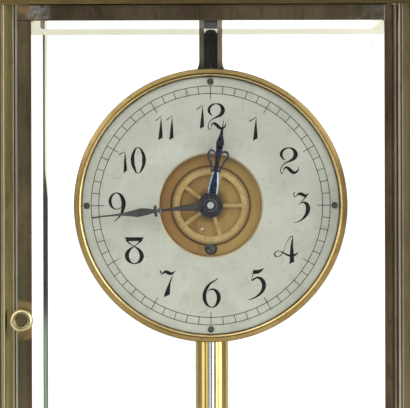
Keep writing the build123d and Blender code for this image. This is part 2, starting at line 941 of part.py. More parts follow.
def back_plate():
    """The back plate, bored for four pivots and for the screws of what it carries."""
    screw_hole = screw_shank_radius + running_clearance
    holes = [
        (arbor_pivot_radius + running_clearance, [(0, 0)]),
        (small_pivot_radius + running_clearance, [minute_arbor, third_arbor]),
        (ratchet_pivot_radius + running_clearance, [ratchet_arbor]),
        (screw_hole, pillar_places() + saddle_screw_places() + bracket_screw_places()),
        (screw_hole, [(click_screw_x, click_screw_z)]),
    ]
    return in_movement(plate(back_plate_y, works_back_y, holes))


def plate_pillars():
    """Four turned pillars with a slim waist, tapped at both ends."""
    grip = screw_length - plate_thickness
    end_front = train_front_y + pillar_collar
    end_back = back_plate_y - pillar_collar
    middle = (end_front + end_back) / 2
    edges = [
        Line((0, train_front_y), (pillar_radius, train_front_y)),
        Line((pillar_radius, train_front_y), (pillar_radius, end_front)),
        ThreePointArc((pillar_radius, end_front), (pillar_waist, middle), (pillar_radius, end_back)),
        Line((pillar_radius, end_back), (pillar_radius, back_plate_y)),
        Line((pillar_radius, back_plate_y), (0, back_plate_y)),
        Line((0, back_plate_y), (0, train_front_y)),
    ]
    turned = turned_y(edges)
    bore = screw_shank_radius + seat_fit
    turned -= disc(bore, train_front_y, train_front_y + grip)
    turned -= disc(bore, back_plate_y - grip, back_plate_y)
    return in_movement(Part() + [Pos(x, 0, z) * turned for x, z in pillar_places()])


# Dial


def dial():
    """The silvered ring, bevelled round its open centre."""
    edges = Polyline(
        (dial_opening_radius + dial_bevel, dial_front_y),
        (dial_outer_radius, dial_front_y),
        (dial_outer_radius, dial_back_y),
        (dial_opening_radius, dial_back_y),
        (dial_opening_radius, dial_back_y - dial_thickness + dial_bevel),
        close=True,
    )
    body = turned_y(edges)
    for x, z in on_circle(dial_screw_circle, 4):
        body -= disc(dial_screw_shank + running_clearance, dial_front_y, dial_back_y, x, z)
    return in_movement(body)


def dial_screws():
    """Four small round-headed screws through the minute ring's margin."""
    dome = dial_screw_rise / 2
    edges = Polyline(
        (0, dial_front_y - dial_screw_rise),
        (dial_screw_head - dome, dial_front_y - dial_screw_rise),
        (dial_screw_head, dial_front_y - dome),
        (dial_screw_head, dial_front_y),
        (dial_screw_shank, dial_front_y),
        (dial_screw_shank, carrier_back_y),
        (0, carrier_back_y),
        close=True,
    )
    screw = turned_y(edges)
    places = on_circle(dial_screw_circle, 4)
    return in_movement(Part() + [Pos(x, 0, z) * screw for x, z in places])


def dial_carrier():
    """The ring behind the dial, with four feet whose spigots enter the front plate."""
    body = ring(carrier_radius, carrier_inner_radius, dial_back_y, carrier_back_y)
    for x, z in on_circle(dial_screw_circle, 4):
        body -= disc(dial_screw_shank + seat_fit, dial_back_y, carrier_back_y, x, z)
    for x, z in on_circle(dial_feet_circle, 4, 45):
        body += disc(dial_feet_radius, carrier_back_y, front_plate_y, x, z)
        body += disc(dial_spigot_radius, front_plate_y, train_front_y, x, z)
    return in_movement(body)


def bezel():
    """The turned bezel: a bright bead inside, a hollowed outer slope and a skirt round the dial."""
    inner = bezel_inner_radius
    rise_y = dial_front_y - bezel_rise
    bead_foot = dial_front_y - bezel_rise + bezel_bead
    bead_end = inner + bezel_bead
    foot_y = dial_front_y + bezel_slope_foot
    skirt_y = dial_front_y + bezel_skirt
    skirt_inner = bezel_radius - bezel_wall
    hollow = ((bead_end + bezel_radius) / 2 - bezel_rise / 10, (bead_foot + foot_y) / 2)
    edges = [
        Line((inner, dial_front_y), (inner, bead_foot)),
        ThreePointArc((inner, bead_foot), (inner + bezel_bead / 2, rise_y), (bead_end, bead_foot)),
        ThreePointArc((bead_end, bead_foot), hollow, (bezel_radius, foot_y)),
        Line((bezel_radius, foot_y), (bezel_radius, skirt_y)),
        Line((bezel_radius, skirt_y), (skirt_inner, skirt_y)),
        Line((skirt_inner, skirt_y), (skirt_inner, dial_front_y)),
        Line((skirt_inner, dial_front_y), (inner, dial_front_y)),
    ]
    return in_movement(turned_y(edges))


# Wheels


def gear_outline(teeth, steps, tooth_angle):
    """A toothed outline; steps are radii with the tooth's share of the pitch, from the root out."""
    pitch = 2 * pi / teeth
    points = []
    for number in range(teeth):
        middle = radians(tooth_angle) + number * pitch
        rising = [(radius, middle - share * pitch / 2) for radius, share in steps]
        falling = [(radius, middle + share * pitch / 2) for radius, share in reversed(steps)]
        points += [(radius * cos(angle), radius * sin(angle)) for radius, angle in rising + falling]
    return make_face(Polyline(*points, close=True))


def coarse_steps(teeth, module, addendum, dedendum):
    """Straight-sided teeth, for the fine wheels of the motion work."""
    radius = module * teeth / 2
    root = radius - dedendum * module
    return [(root, tooth_root_share), (radius + addendum * module, tooth_tip_share)]


def hour_pinion_steps():
    """The hour pinion's teeth are slimmer at the root than the wheel's."""
    radius = hour_module * hour_pinion_teeth / 2
    root = radius - tooth_dedendum * hour_module
    return [(root, pinion_root_share), (radius + tooth_addendum * hour_module, tooth_tip_share)]


def wheel_steps(teeth):
    """Three-step teeth for a driving wheel of the train."""
    radius = train_module * teeth / 2
    root = radius - train_module
    tip = radius + train_module
    return [(root, pinion_root_share), (radius, train_pitch_share), (tip, tooth_tip_share)]


def leaf_steps():
    """Pinion leaves, nearly as thick at the root as at the pitch circle."""
    radius = train_module * pinion_leaves / 2
    root = radius - leaf_dedendum * train_module
    tip = radius + leaf_addendum * train_module
    return [(root, leaf_share), (radius, leaf_share), (tip, tooth_tip_share)]


def crossed_wheel(outline, rim_radius, hub_radius, spoke, count, first_angle):
    """A toothed outline with its web cut away between straight spokes."""
    window = Circle(rim_radius) - Circle(hub_radius)
    for number in range(count):
        bar = Pos(rim_radius / 2, 0) * Rectangle(rim_radius, spoke)
        window -= Rot(0, 0, first_angle + 360 * number / count) * bar
    return outline - window


def direction(start, end):
    """The angle of the line from one arbor to another."""
    return degrees(atan2(end[1] - start[1], end[0] - start[0]))


def facing_gap(angle, teeth):
    """The tooth angle that puts a gap at the far side of a mesh seen from the other arbor."""
    return angle + 180 + 180 / teeth


def hour_wheel():
    """The large five-spoked wheel in the open centre, with the pipe that carries the hour hand."""
    back_y = hour_wheel_y
    front_y = back_y - hour_wheel_thickness
    to_minute = direction((0, 0), minute_arbor)
    steps = coarse_steps(hour_teeth, hour_module, tooth_addendum, tooth_dedendum)
    outline = gear_outline(hour_teeth, steps, to_minute)
    shape = crossed_wheel(
        outline, hour_rim_radius, hour_hub_radius, hour_spoke, hour_spokes, 0
    )
    body = along_y(shape, front_y, back_y)
    body += disc(pipe_radius, hour_hand_y - hand_thickness, back_y)
    body -= disc(arbor_radius + running_clearance, hour_hand_y - hand_thickness, back_y)
    return in_movement(body)


def center_arbor():
    """The arbor that carries the minute hand in front and the two inner wheels."""
    tip_y = boss_y - boss_thickness - arbor_tip
    shoulder_y = train_front_y + shoulder_gap
    pivot_y = back_plate_y - shoulder_gap
    edges = Polyline(
        (0, tip_y),
        (arbor_radius, tip_y),
        (arbor_radius, shoulder_y),
        (arbor_shoulder_radius, shoulder_y),
        (arbor_shoulder_radius, pivot_y),
        (arbor_pivot_radius, pivot_y),
        (arbor_pivot_radius, works_back_y),
        (0, works_back_y),
        close=True,
    )
    slot = block(
        -arbor_slot / 2, arbor_slot / 2, tip_y, tip_y + arbor_slot, -arbor_radius, arbor_radius
    )
    return in_movement(turned_y(edges) - slot)


def pressed_wheel(shape, front_y, thickness, bore):
    """A wheel pressed on its arbor."""
    return along_y(shape - Circle(bore + seat_fit), front_y, front_y + thickness)


def cannon_wheel():
    """The small wheel behind the front plate that drives the minute wheel."""
    steps = coarse_steps(cannon_teeth, motion_module, motion_addendum, motion_dedendum)
    shape = gear_outline(cannon_teeth, steps, direction((0, 0), minute_arbor))
    front_y = train_front_y + cannon_gap
    return in_movement(pressed_wheel(shape, front_y, wheel_thickness, arbor_shoulder_radius))


def center_wheel():
    """The center wheel, which meshes with the third pinion."""
    outline = gear_outline(center_teeth, wheel_steps(center_teeth), third_arbor_angle)
    rim = train_module * (center_teeth / 2 - rim_modules)
    shape = crossed_wheel(outline, rim, 2 * arbor_shoulder_radius, hour_spoke, 4, 0)
    front_y = train_front_y + center_wheel_gap
    return in_movement(pressed_wheel(shape, front_y, wheel_thickness, arbor_shoulder_radius))


def minute_wheel():
    """The minute wheel, behind the front plate."""
    steps = coarse_steps(minute_teeth, motion_module, motion_addendum, motion_dedendum)
    angle = facing_gap(direction((0, 0), minute_arbor), minute_teeth)
    outline = gear_outline(minute_teeth, steps, angle)
    rim = motion_module * (minute_teeth / 2 - rim_modules)
    shape = crossed_wheel(outline, rim, 3 * minute_arbor_radius, hour_spoke, 4, 45)
    front_y = train_front_y + cannon_gap
    body = pressed_wheel(shape, front_y, wheel_thickness, minute_arbor_radius)
    return in_movement(Pos(minute_arbor[0], 0, minute_arbor[1]) * body)


def minute_pinion():
    """The steel arbor of the minute wheel, with the pinion that drives the hour wheel."""
    front_y = hour_wheel_y - hour_wheel_thickness - pinion_overhang / 2
    back_y = hour_wheel_y + pinion_overhang / 2
    angle = facing_gap(direction((0, 0), minute_arbor), hour_pinion_teeth)
    leaves = along_y(gear_outline(hour_pinion_teeth, hour_pinion_steps(), angle), front_y, back_y)
    body = leaves + disc(minute_arbor_radius, front_y - pinion_overhang, back_plate_y - shoulder_gap)
    body += disc(small_pivot_radius, back_plate_y - 2 * shoulder_gap, works_back_y)
    return in_movement(Pos(minute_arbor[0], 0, minute_arbor[1]) * body)


def pinion_arbor(wheel_gap, angle, back_pivot):
    """A steel arbor between the plates with its pinion opposite the wheel that it meshes with."""
    front_y = train_front_y + wheel_gap - pinion_overhang
    back_y = train_front_y + wheel_gap + wheel_thickness + pinion_overhang
    leaves = along_y(gear_outline(pinion_leaves, leaf_steps(), angle), front_y, back_y)
    body = leaves + disc(small_arbor_radius, train_front_y + shoulder_gap, back_plate_y - shoulder_gap)
    body += disc(small_pivot_radius, train_front_y - pivot_depth + shoulder_gap, front_y)
    body += disc(back_pivot, back_plate_y - 2 * shoulder_gap, works_back_y)
    return body


def third_pinion():
    """The third arbor, whose pinion meshes with the center wheel."""
    angle = facing_gap(third_arbor_angle, pinion_leaves)
    body = pinion_arbor(center_wheel_gap, angle, small_pivot_radius)
    return in_movement(Pos(third_arbor[0], 0, third_arbor[1]) * body)


def third_wheel():
    """The third wheel, which meshes with the ratchet's pinion."""
    outline = gear_outline(third_teeth, wheel_steps(third_teeth), direction(third_arbor, ratchet_arbor))
    rim = train_module * (third_teeth / 2 - rim_modules)
    shape = crossed_wheel(outline, rim, 3 * small_arbor_radius, hour_spoke, 4, 0)
    front_y = train_front_y + third_wheel_gap
    body = pressed_wheel(shape, front_y, wheel_thickness, small_arbor_radius)
    return in_movement(Pos(third_arbor[0], 0, third_arbor[1]) * body)


def ratchet_pinion():
    """The ratchet's arbor, which goes through the back plate."""
    angle = facing_gap(direction(third_arbor, ratchet_arbor), pinion_leaves)
    body = pinion_arbor(third_wheel_gap, angle, ratchet_pivot_radius)
    body += disc(ratchet_pivot_radius, works_back_y, ratchet_y + ratchet_thickness)
    return in_movement(Pos(ratchet_arbor[0], 0, ratchet_arbor[1]) * body)


def ratchet_wheel():
    """The saw-toothed wheel behind the back plate that the pawl steps round."""
    pitch = 2 * pi / ratchet_teeth
    root = ratchet_radius - ratchet_tooth_depth
    points = []
    for number in range(ratchet_teeth):
        angle = number * pitch
        points.append((ratchet_radius * cos(angle), ratchet_radius * sin(angle)))
        points.append((root * cos(angle), root * sin(angle)))
    outline = make_face(Polyline(*points, close=True))
    rim = root - 2 * ratchet_tooth_depth
    shape = crossed_wheel(outline, rim, 3 * ratchet_pivot_radius, hour_spoke, 5, 90)
    body = pressed_wheel(shape, ratchet_y, ratchet_thickness, ratchet_pivot_radius)
    return in_movement(Pos(ratchet_arbor[0], 0, ratchet_arbor[1]) * body)


def click_spring():
    """The leaf that keeps the ratchet from turning back, on its screwed foot."""
    ratchet_x, ratchet_z = ratchet_arbor
    tip_x = ratchet_x + ratchet_radius + pawl_clearance
    foot = Pos(click_screw_x, click_screw_z) * Rectangle(3 * screw_head_radius, 3 * screw_head_radius)
    foot_top = click_screw_z + 1.5 * screw_head_radius
    root_x = click_screw_x - screw_head_radius
    leaf = Polyline(
        (root_x, foot_top),
        (tip_x, ratchet_z + click_leaf),
        (tip_x + click_leaf, ratchet_z + click_leaf),
        (root_x + 2 * click_leaf, foot_top),
        close=True,
    )
    hole = Pos(click_screw_x, click_screw_z) * Circle(screw_shank_radius + running_clearance)
    shape = foot + make_face(leaf) - hole
    return in_movement(along_y(shape, works_back_y, works_back_y + click_thickness))


# Hands


def hour_hand():
    """The hour hand: a stout stem, a lyre of two open scrolls and a leaf-shaped point."""
    node = hour_hand_length * hour_node_share
    leaf_foot = hour_hand_length * hour_leaf_foot_share
    leaf = hour_hand_length * hour_leaf_share
    neck = hour_hand_length * hour_neck_share
    half = [
        (hour_neck_half_width, neck),
        (hour_leaf_half_width, leaf),
        (hour_leaf_foot_half_width, leaf_foot),
        (hour_spine_half_width, node + hand_bar_width),
        (hour_node_half_width, node),
        (hour_stem_half_width, 0),
    ]
    other_half = [(-x, z) for x, z in reversed(half)]
    stem = Polyline((0, hour_hand_length), *half, *other_half, close=True)
    shape = Circle(hour_collet_radius) + make_face(stem)
    shape += Pos(0, node) * Rectangle(2 * hour_bar_half_width, hand_bar_width)
    middle = node + scroll_height * 2 / 3
    for side in (1, -1):
        foot = (side * hour_node_half_width, node)
        widest = (side * scroll_reach, middle)
        curl = (side * hour_spine_half_width, node + scroll_height * 5 / 6)
        rise = ThreePointArc(foot, (side * scroll_reach * 3 / 5, node + scroll_height / 3), widest)
        loop = ThreePointArc(widest, (side * scroll_reach * 2 / 3, node + scroll_height), curl)
        shape += trace(rise, scroll_width) + trace(loop, scroll_width)
        bead = Pos(side * scroll_reach * 2 / 3, node + scroll_height / 3)
        shape += bead * Circle(scroll_width)
    shape -= Circle(pipe_radius + seat_fit)
    turned = Rot(0, 0, -hour_hand_angle) * shape
    return in_movement(along_y(turned, hour_hand_y - hand_thickness, hour_hand_y))


def minute_hand():
    """The minute hand: a tapered stem, a cross bar and a long lozenge, on its sleeve."""
    bar = minute_hand_length * minute_bar_share
    collar = minute_hand_length * minute_collar_share
    half = [
        (minute_tip_half_width, minute_hand_length),
        (minute_neck_half_width, minute_hand_length * minute_neck_share),
        (minute_leaf_half_width, minute_hand_length * minute_leaf_share),
        (minute_waist_half_width, bar),
        (minute_collar_half_width, collar),
        (minute_waist_half_width, collar - minute_collar_foot),
        (minute_stem_half_width, 0),
    ]
    other_half = [(-x, z) for x, z in reversed(half)]
    stem = Polyline(*half, *other_half, close=True)
    shape = Circle(minute_collet_radius) + make_face(stem)
    shape += Pos(0, bar) * Rectangle(2 * minute_bar_half_width, hand_bar_width)
    turned = Rot(0, 0, -minute_hand_angle) * shape
    body = along_y(turned, boss_y, minute_hand_y)
    body += disc(minute_sleeve_radius, minute_hand_y, hour_hand_y - hand_thickness - seat_clearance)
    body -= disc(arbor_radius + seat_fit, boss_y, hour_hand_y)
    return in_movement(body)


def hand_boss():
    """The blued collet nut in front of the hands, with turned rings on its face."""
    face_y = boss_y - boss_thickness
    chamfer_size = boss_groove
    body = turned_y(
        Polyline(
            (arbor_radius + seat_fit, face_y),
            (boss_radius - 2 * chamfer_size, face_y),
            (boss_radius, face_y + 2 * chamfer_size),
            (boss_radius, boss_y),
            (arbor_radius + seat_fit, boss_y),
            close=True,
        )
    )
    for share in (0.5, 0.75):
        outer = boss_radius * share + boss_groove
        body -= ring(outer, boss_radius * share - boss_groove, face_y, face_y + boss_groove)
    return in_movement(body)


# Suspension, crutch and pendulum


def suspension_bracket():
    """The bracket behind the back plate: a screwed foot, two cheeks, a bridge and a stud."""
    back_y = works_back_y + bracket_thickness
    foot_top = suspension_height + bracket_shoulder
    flare_top = foot_top + bracket_flare
    foot_wide = bracket_foot_half_width
    slim = bracket_half_width
    inside = slim - bracket_cheek
    shape = make_face(
        [
            Line((-foot_wide, bracket_foot_z), (foot_wide, bracket_foot_z)),
            Line((foot_wide, bracket_foot_z), (foot_wide, foot_top)),
            ThreePointArc(
                (foot_wide, foot_top),
                ((foot_wide + slim) / 2 - bracket_flare / 10, (foot_top + flare_top) / 2),
                (slim, flare_top),
            ),
            Line((slim, flare_top), (-slim, flare_top)),
            ThreePointArc(
                (-slim, flare_top),
                (-(foot_wide + slim) / 2 + bracket_flare / 10, (foot_top + flare_top) / 2),
                (-foot_wide, foot_top),
            ),
            Line((-foot_wide, foot_top), (-foot_wide, bracket_foot_z)),
        ]
    )
    body = along_y(shape, works_back_y, back_y)
    cheek_back = works_back_y + bracket_cheek_depth
    for side in (1, -1):
        low_x = inside if side > 0 else -slim
        body += block(
            low_x, low_x + bracket_cheek, works_back_y, cheek_back, foot_top, bracket_top
        )
    bridge_z = bracket_top - bracket_bridge
    bridge_y = works_back_y + bracket_bridge_inset
    body += block(-inside, inside, bridge_y, cheek_back, bridge_z, bracket_top)
    body -= block(-inside, inside, works_back_y, back_y, block_bottom, flare_top)
    body += disc(crutch_stud_radius, back_y, crutch_y + crutch_thickness + seat_clearance, 0, suspension_height)
    for x, z in bracket_screw_places():
        body -= disc(screw_shank_radius + running_clearance, works_back_y, back_y, x, z)
    return in_movement(body)


def insulating_block():
    """The split block between the cheeks that grips the suspension spring."""
    shape = Polyline(
        (-block_half_width, block_bottom),
        (-block_half_width, block_top - block_corner),
        (-block_half_width + block_corner, block_top),
        (block_half_width - block_corner, block_top),
        (block_half_width, block_top - block_corner),
        (block_half_width, block_bottom),
        close=True,
    )
    body = along_y(make_face(shape), pendulum_y - block_depth / 2, pendulum_y + block_depth / 2)
    half = block_slit / 2
    slit = block(
        -half, half, pendulum_y - block_depth, pendulum_y + block_depth, block_bottom, block_slit_top
    )
    return in_movement(body - slit)


def suspension_spring():
    """The thin strip that the pendulum hangs and bends on."""
    half = spring_thickness / 2
    low = chops_top - spring_grip
    high = block_bottom + spring_grip
    front_y = pendulum_y - spring_width / 2
    return in_movement(block(-half, half, front_y, front_y + spring_width, low, high))


def pendulum_chops():
    """The split block on top of the pendulum rod."""
    front_y = pendulum_y - chops_depth / 2
    back_y = pendulum_y + chops_depth / 2
    body = block(-chops_half_width, chops_half_width, front_y, back_y, chops_bottom, chops_top)
    body = chamfer(body.edges().filter_by(Axis.Y), block_corner / 2)
    half = block_slit / 2
    body -= block(-half, half, front_y, back_y, chops_top - chops_slot_depth, chops_top)
    body -= upright(rod_radius + seat_fit, chops_bottom, chops_bottom + rod_grip, 0, pendulum_y)
    return in_movement(body)


def sleeve_top():
    """The top of the hanger's sleeve, above the middle of the bob."""
    return coil_radius + hanger_band + sleeve_length


def pendulum_rod():
    """The steel rod, from the chops down into the hanger's sleeve."""
    top = chops_bottom + rod_grip - seat_clearance / 2
    low = bob_z + coil_radius + hanger_band + sleeve_foot + rod_end_clearance
    return in_movement(upright(rod_radius, low, top, 0, pendulum_y))


def crutch():
    """The lever that hangs on the bracket's stud and straddles the rod with two pins."""
    front_y = crutch_y
    back_y = crutch_y + crutch_thickness
    fork_x = rod_radius + crutch_fork_clearance + crutch_fork_pin
    arm = Polyline(
        (-crutch_half_width, suspension_height),
        (crutch_half_width, suspension_height),
        (crutch_tip_half_width, crutch_fork_z),
        (-crutch_tip_half_width, crutch_fork_z),
        close=True,
    )
    shape = Pos(0, suspension_height) * Circle(crutch_hub_radius) + make_face(arm)
    shape += Pos(pawl_pivot_x / 2, pawl_pivot_z) * Rectangle(-pawl_pivot_x, 2 * pawl_pin_radius + 1)
    shape += Pos(pawl_pivot_x, pawl_pivot_z) * Circle(pawl_hub_radius)
    shape += Pos(0, crutch_fork_z) * SlotOverall(2 * (fork_x + crutch_hub_radius / 2), crutch_hub_radius)
    shape -= Pos(0, suspension_height) * Circle(crutch_stud_radius + running_clearance)
    shape -= Pos(pawl_pivot_x, pawl_pivot_z) * Circle(pawl_pin_radius + running_clearance)
    body = along_y(shape, front_y, back_y)
    pin_end = pendulum_y + rod_radius + crutch_fork_clearance
    for x in (-fork_x, fork_x):
        body += disc(crutch_fork_pin, front_y, pin_end, x, crutch_fork_z)
    return in_movement(body)


def drive_pawl():
    """The hooked pawl that steps the ratchet, on its pin through the crutch."""
    ratchet_x, ratchet_z = ratchet_arbor
    tip_z = ratchet_z + ratchet_radius + pawl_clearance
    arm = Polyline(
        (pawl_pivot_x - pawl_hub_radius * 0.7, pawl_pivot_z - pawl_hub_radius * 0.7),
        (ratchet_x - 0.6, tip_z + 1.4),
        (ratchet_x, tip_z + 0.1),
        (ratchet_x + 0.6, tip_z + 0.1),
        (ratchet_x + 0.9, tip_z + 2.2),
        (pawl_pivot_x + pawl_hub_radius * 0.7, pawl_pivot_z + pawl_hub_radius * 0.7),
        close=True,
    )
    shape = make_face(arm) + Pos(pawl_pivot_x, pawl_pivot_z) * Circle(pawl_hub_radius)
    body = along_y(shape, ratchet_y, ratchet_y + ratchet_thickness)
    body += disc(pawl_pin_radius, ratchet_y, crutch_y + crutch_thickness, pawl_pivot_x, pawl_pivot_z)
    return in_movement(body)


def across_x(edges):
    """A shape turned about X and carried to the bob, from an outline of X and radius."""
    return Pos(0, pendulum_y, bob_z) * revolve(make_face(edges), Axis.X)


def bobbin():
    """The spool of the coil, open along its axis for the magnet."""
    half = coil_length / 2
    outer = half + bobbin_flange
    core = bobbin_bore + bobbin_wall
    edges = Polyline(
        (-outer, bobbin_bore),
        (outer, bobbin_bore),
        (outer, bobbin_radius),
        (half, bobbin_radius),
        (half, core),
        (-half, core),
        (-half, bobbin_radius),
        (-outer, bobbin_radius),
        close=True,
    )
    return in_movement(across_x(edges))


def coil_winding():
    """The taped winding between the spool's flanges."""
    half = coil_length / 2
    core = bobbin_bore + bobbin_wall
    edges = Polyline(
        (-half, core), (half, core), (half, coil_radius), (-half, coil_radius), close=True
    )
    return in_movement(across_x(edges))


def coil_hanger():
    """The band round the coil, with the sleeve that takes the pendulum rod."""
    outer = coil_radius + hanger_band
    half = hanger_half_width
    inner = coil_radius + seat_fit
    band = across_x(
        Polyline((-half, inner), (half, inner), (half, outer), (-half, outer), close=True)
    )
    foot_z = bob_z + coil_radius + hanger_band / 2
    top_z = bob_z + sleeve_top()
    body = band + upright(sleeve_radius, foot_z, top_z, 0, pendulum_y)
    bore_low = bob_z + outer + sleeve_foot
    body -= upright(rod_radius + running_clearance, bore_low, top_z, 0, pendulum_y)
    return in_movement(body)


def rating_nut():
    """The milled nut above the sleeve that raises and lowers the bob."""
    low = bob_z + sleeve_top() + nut_clearance
    outline = Pos(0, pendulum_y, low) * RegularPolygon(rating_nut_radius, rating_nut_sides)
    body = extrude(outline, amount=rating_nut_height)
    body -= upright(rod_radius + running_clearance, low, low + rating_nut_height, 0, pendulum_y)
    return in_movement(body)


def magnet_end(side):
    """The point where an end of the magnet meets its support, about the pendulum's pivot."""
    angle = radians(magnet_half_angle)
    return side * bob_drop * sin(angle), suspension_height - bob_drop * cos(angle)


def magnet():
    """The curved bar magnet, round in section, with a tenon at each end."""
    path = CenterArc(
        (0, suspension_height), bob_drop, -90 - magnet_half_angle, 2 * magnet_half_angle
    )
    path = Plane.XZ.offset(-pendulum_y) * path
    body = sweep((path ^ 0) * Circle(magnet_radius), path)
    for side in (1, -1):
        body += tenon(side, magnet_tenon_radius, magnet_tenon)
    return in_movement(body)


def tenon(side, radius, length):
    """A straight round bar that leaves an end of the magnet along its slope."""
    x, z = magnet_end(side)
    slope = 90 - magnet_half_angle
    bar = Pos(0, 0, length / 2) * Cylinder(radius, length)
    return Pos(x, pendulum_y, z) * Rot(0, side * slope, 0) * bar


def magnet_supports():
    """Two pillars on the floor, cut square to the magnet's ends and bored for its tenons."""
    pieces = []
    floor_z = plinth_height - dial_height
    for side in (1, -1):
        x, z = magnet_end(side)
        centre_x = x + side * support_radius
        top_z = z + support_rise
        pillar = upright(support_radius, floor_z, top_z, centre_x, pendulum_y)
        foot = upright(support_foot_radius, floor_z, floor_z + support_foot, centre_x, pendulum_y)
        slope = 90 - magnet_half_angle
        size = 3 * support_radius
        face = Pos(x, pendulum_y, z) * Rot(0, side * slope, 0) * Pos(0, 0, -size / 2) * Box(size, size, size)
        bore = tenon(side, magnet_tenon_radius + running_clearance, magnet_tenon + seat_clearance)
        pieces.append(pillar - face + foot - bore)
    return in_movement(Part() + pieces)


# Power


def battery():
    """The round cell that lies in the plinth on its cover."""
    floor_z = cover_recess + cover_thickness + battery_clearance
    z = floor_z + battery_radius
    can = Cylinder(battery_radius, battery_length)
    cap = Pos(0, 0, battery_length / 2 + battery_cap / 2) * Cylinder(battery_cap_radius, battery_cap)
    return Pos(battery_x, 0, z) * Rot(0, 90, 0) * (can + cap)


def battery_leads():
    """Two short wires, from the ends of the cell up to the underside of the floor."""
    z = cover_recess + cover_thickness + battery_clearance + battery_radius
    floor_z = plinth_height - floor_thickness
    pieces = []
    ends = ((1, battery_length / 2 + battery_cap), (-1, battery_length / 2))
    for side, reach in ends:
        start = battery_x + side * reach
        turn = start + side * lead_run
        path = FilletPolyline((start, 0, z), (turn, 0, z), (turn, 0, floor_z), radius=lead_bend)
        pieces.append(sweep((path ^ 0) * Circle(lead_radius), path))
    return Part() + pieces


def main():
    """Build every piece and write it to its file."""
    os.makedirs("parts", exist_ok=True)
    save(plinth(), "plinth")
    save(floor_plate(), "floor_plate")
    save(bottom_cover(), "bottom_cover")
    save(case_fasteners(), "case_fasteners")
    save(post(-1, -1), "front_left_post")
    save(post(1, -1), "front_right_post")
    save(post(-1, 1), "rear_left_post")
    save(post(1, 1), "rear_right_post")
    save(cornice(), "cornice")
    save(side_glass(-1), "left_side_glass")
    save(side_glass(1), "right_side_glass")
    save_doors()
    makers = [
        column, movement_saddle, movement_screws, front_plate, back_plate, plate_pillars,
        dial, dial_screws, dial_carrier, bezel, hour_wheel, center_arbor, cannon_wheel,
        center_wheel, minute_wheel, minute_pinion, third_pinion, third_wheel, ratchet_pinion,
        ratchet_wheel, click_spring, hour_hand, minute_hand, hand_boss, suspension_bracket,
        insulating_block, suspension_spring, pendulum_chops, pendulum_rod, crutch, drive_pawl,
        bobbin, coil_winding, coil_hanger, rating_nut, magnet, magnet_supports, battery,
        battery_leads,
    ]
    for maker in makers:
        save(maker(), maker.__name__)


main()
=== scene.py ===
"""The looks of a four-glass shelf clock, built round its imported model.

Each sub-assembly is a class that holds its sizes in millimetres and dresses or builds its pieces.
X runs to the right, Y to the back and Z up.
"""

from __future__ import annotations

import logging
from collections.abc import Callable
from dataclasses import dataclass, field, replace
from enum import Enum
from math import atan2, cos, pi, radians, sin

import bpy
from mathutils import Matrix, Vector


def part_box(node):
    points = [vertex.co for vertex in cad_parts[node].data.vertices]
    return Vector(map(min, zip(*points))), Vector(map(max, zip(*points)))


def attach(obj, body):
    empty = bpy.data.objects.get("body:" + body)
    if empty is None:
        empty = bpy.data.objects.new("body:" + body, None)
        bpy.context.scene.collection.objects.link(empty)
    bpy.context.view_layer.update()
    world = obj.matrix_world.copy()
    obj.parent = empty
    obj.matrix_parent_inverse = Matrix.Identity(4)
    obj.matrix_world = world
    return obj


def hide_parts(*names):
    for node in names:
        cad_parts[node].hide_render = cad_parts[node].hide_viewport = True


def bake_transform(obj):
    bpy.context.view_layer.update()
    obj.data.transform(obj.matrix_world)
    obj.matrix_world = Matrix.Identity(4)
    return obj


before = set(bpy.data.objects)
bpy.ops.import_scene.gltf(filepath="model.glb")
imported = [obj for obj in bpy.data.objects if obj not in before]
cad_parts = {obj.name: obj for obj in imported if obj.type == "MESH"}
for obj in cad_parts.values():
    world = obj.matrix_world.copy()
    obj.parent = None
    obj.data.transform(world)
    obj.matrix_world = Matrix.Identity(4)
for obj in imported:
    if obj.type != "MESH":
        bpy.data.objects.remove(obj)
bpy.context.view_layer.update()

MM = 0.001
Colour = tuple[float, float, float]
Stroke = list[tuple[float, float, float]]
Outline = list[tuple[float, float]]

BLACK: Colour = (0.0, 0.0, 0.0)
KNOB_CENTRE: Colour = (-0.0874, 0.0, 0.186)
TOP_RAIL = (326.6, 333.0)
SCRATCHED = (327.4, 333.2)
PATCH_EDGE = (0.4, 0.6)
GAP_EDGE = (-0.7, -0.2)
SPOT_SHARE = 3.7
SPOT_WEAR = 0.55
MARK_WEAR = 0.45

log = logging.getLogger("clock")


class Grain(Enum):
    """The way in which a finish's fine marks run."""

    NONE = "none"
    ACROSS = "across"
    UPRIGHT = "upright"
    TURNED = "turned"


class Along(Enum):
    """What a band of tone is measured along."""

    SIDE = "side"
    WIDTH = "width"
    DEPTH = "depth"
    HEIGHT = "height"
    ROUND = "round"


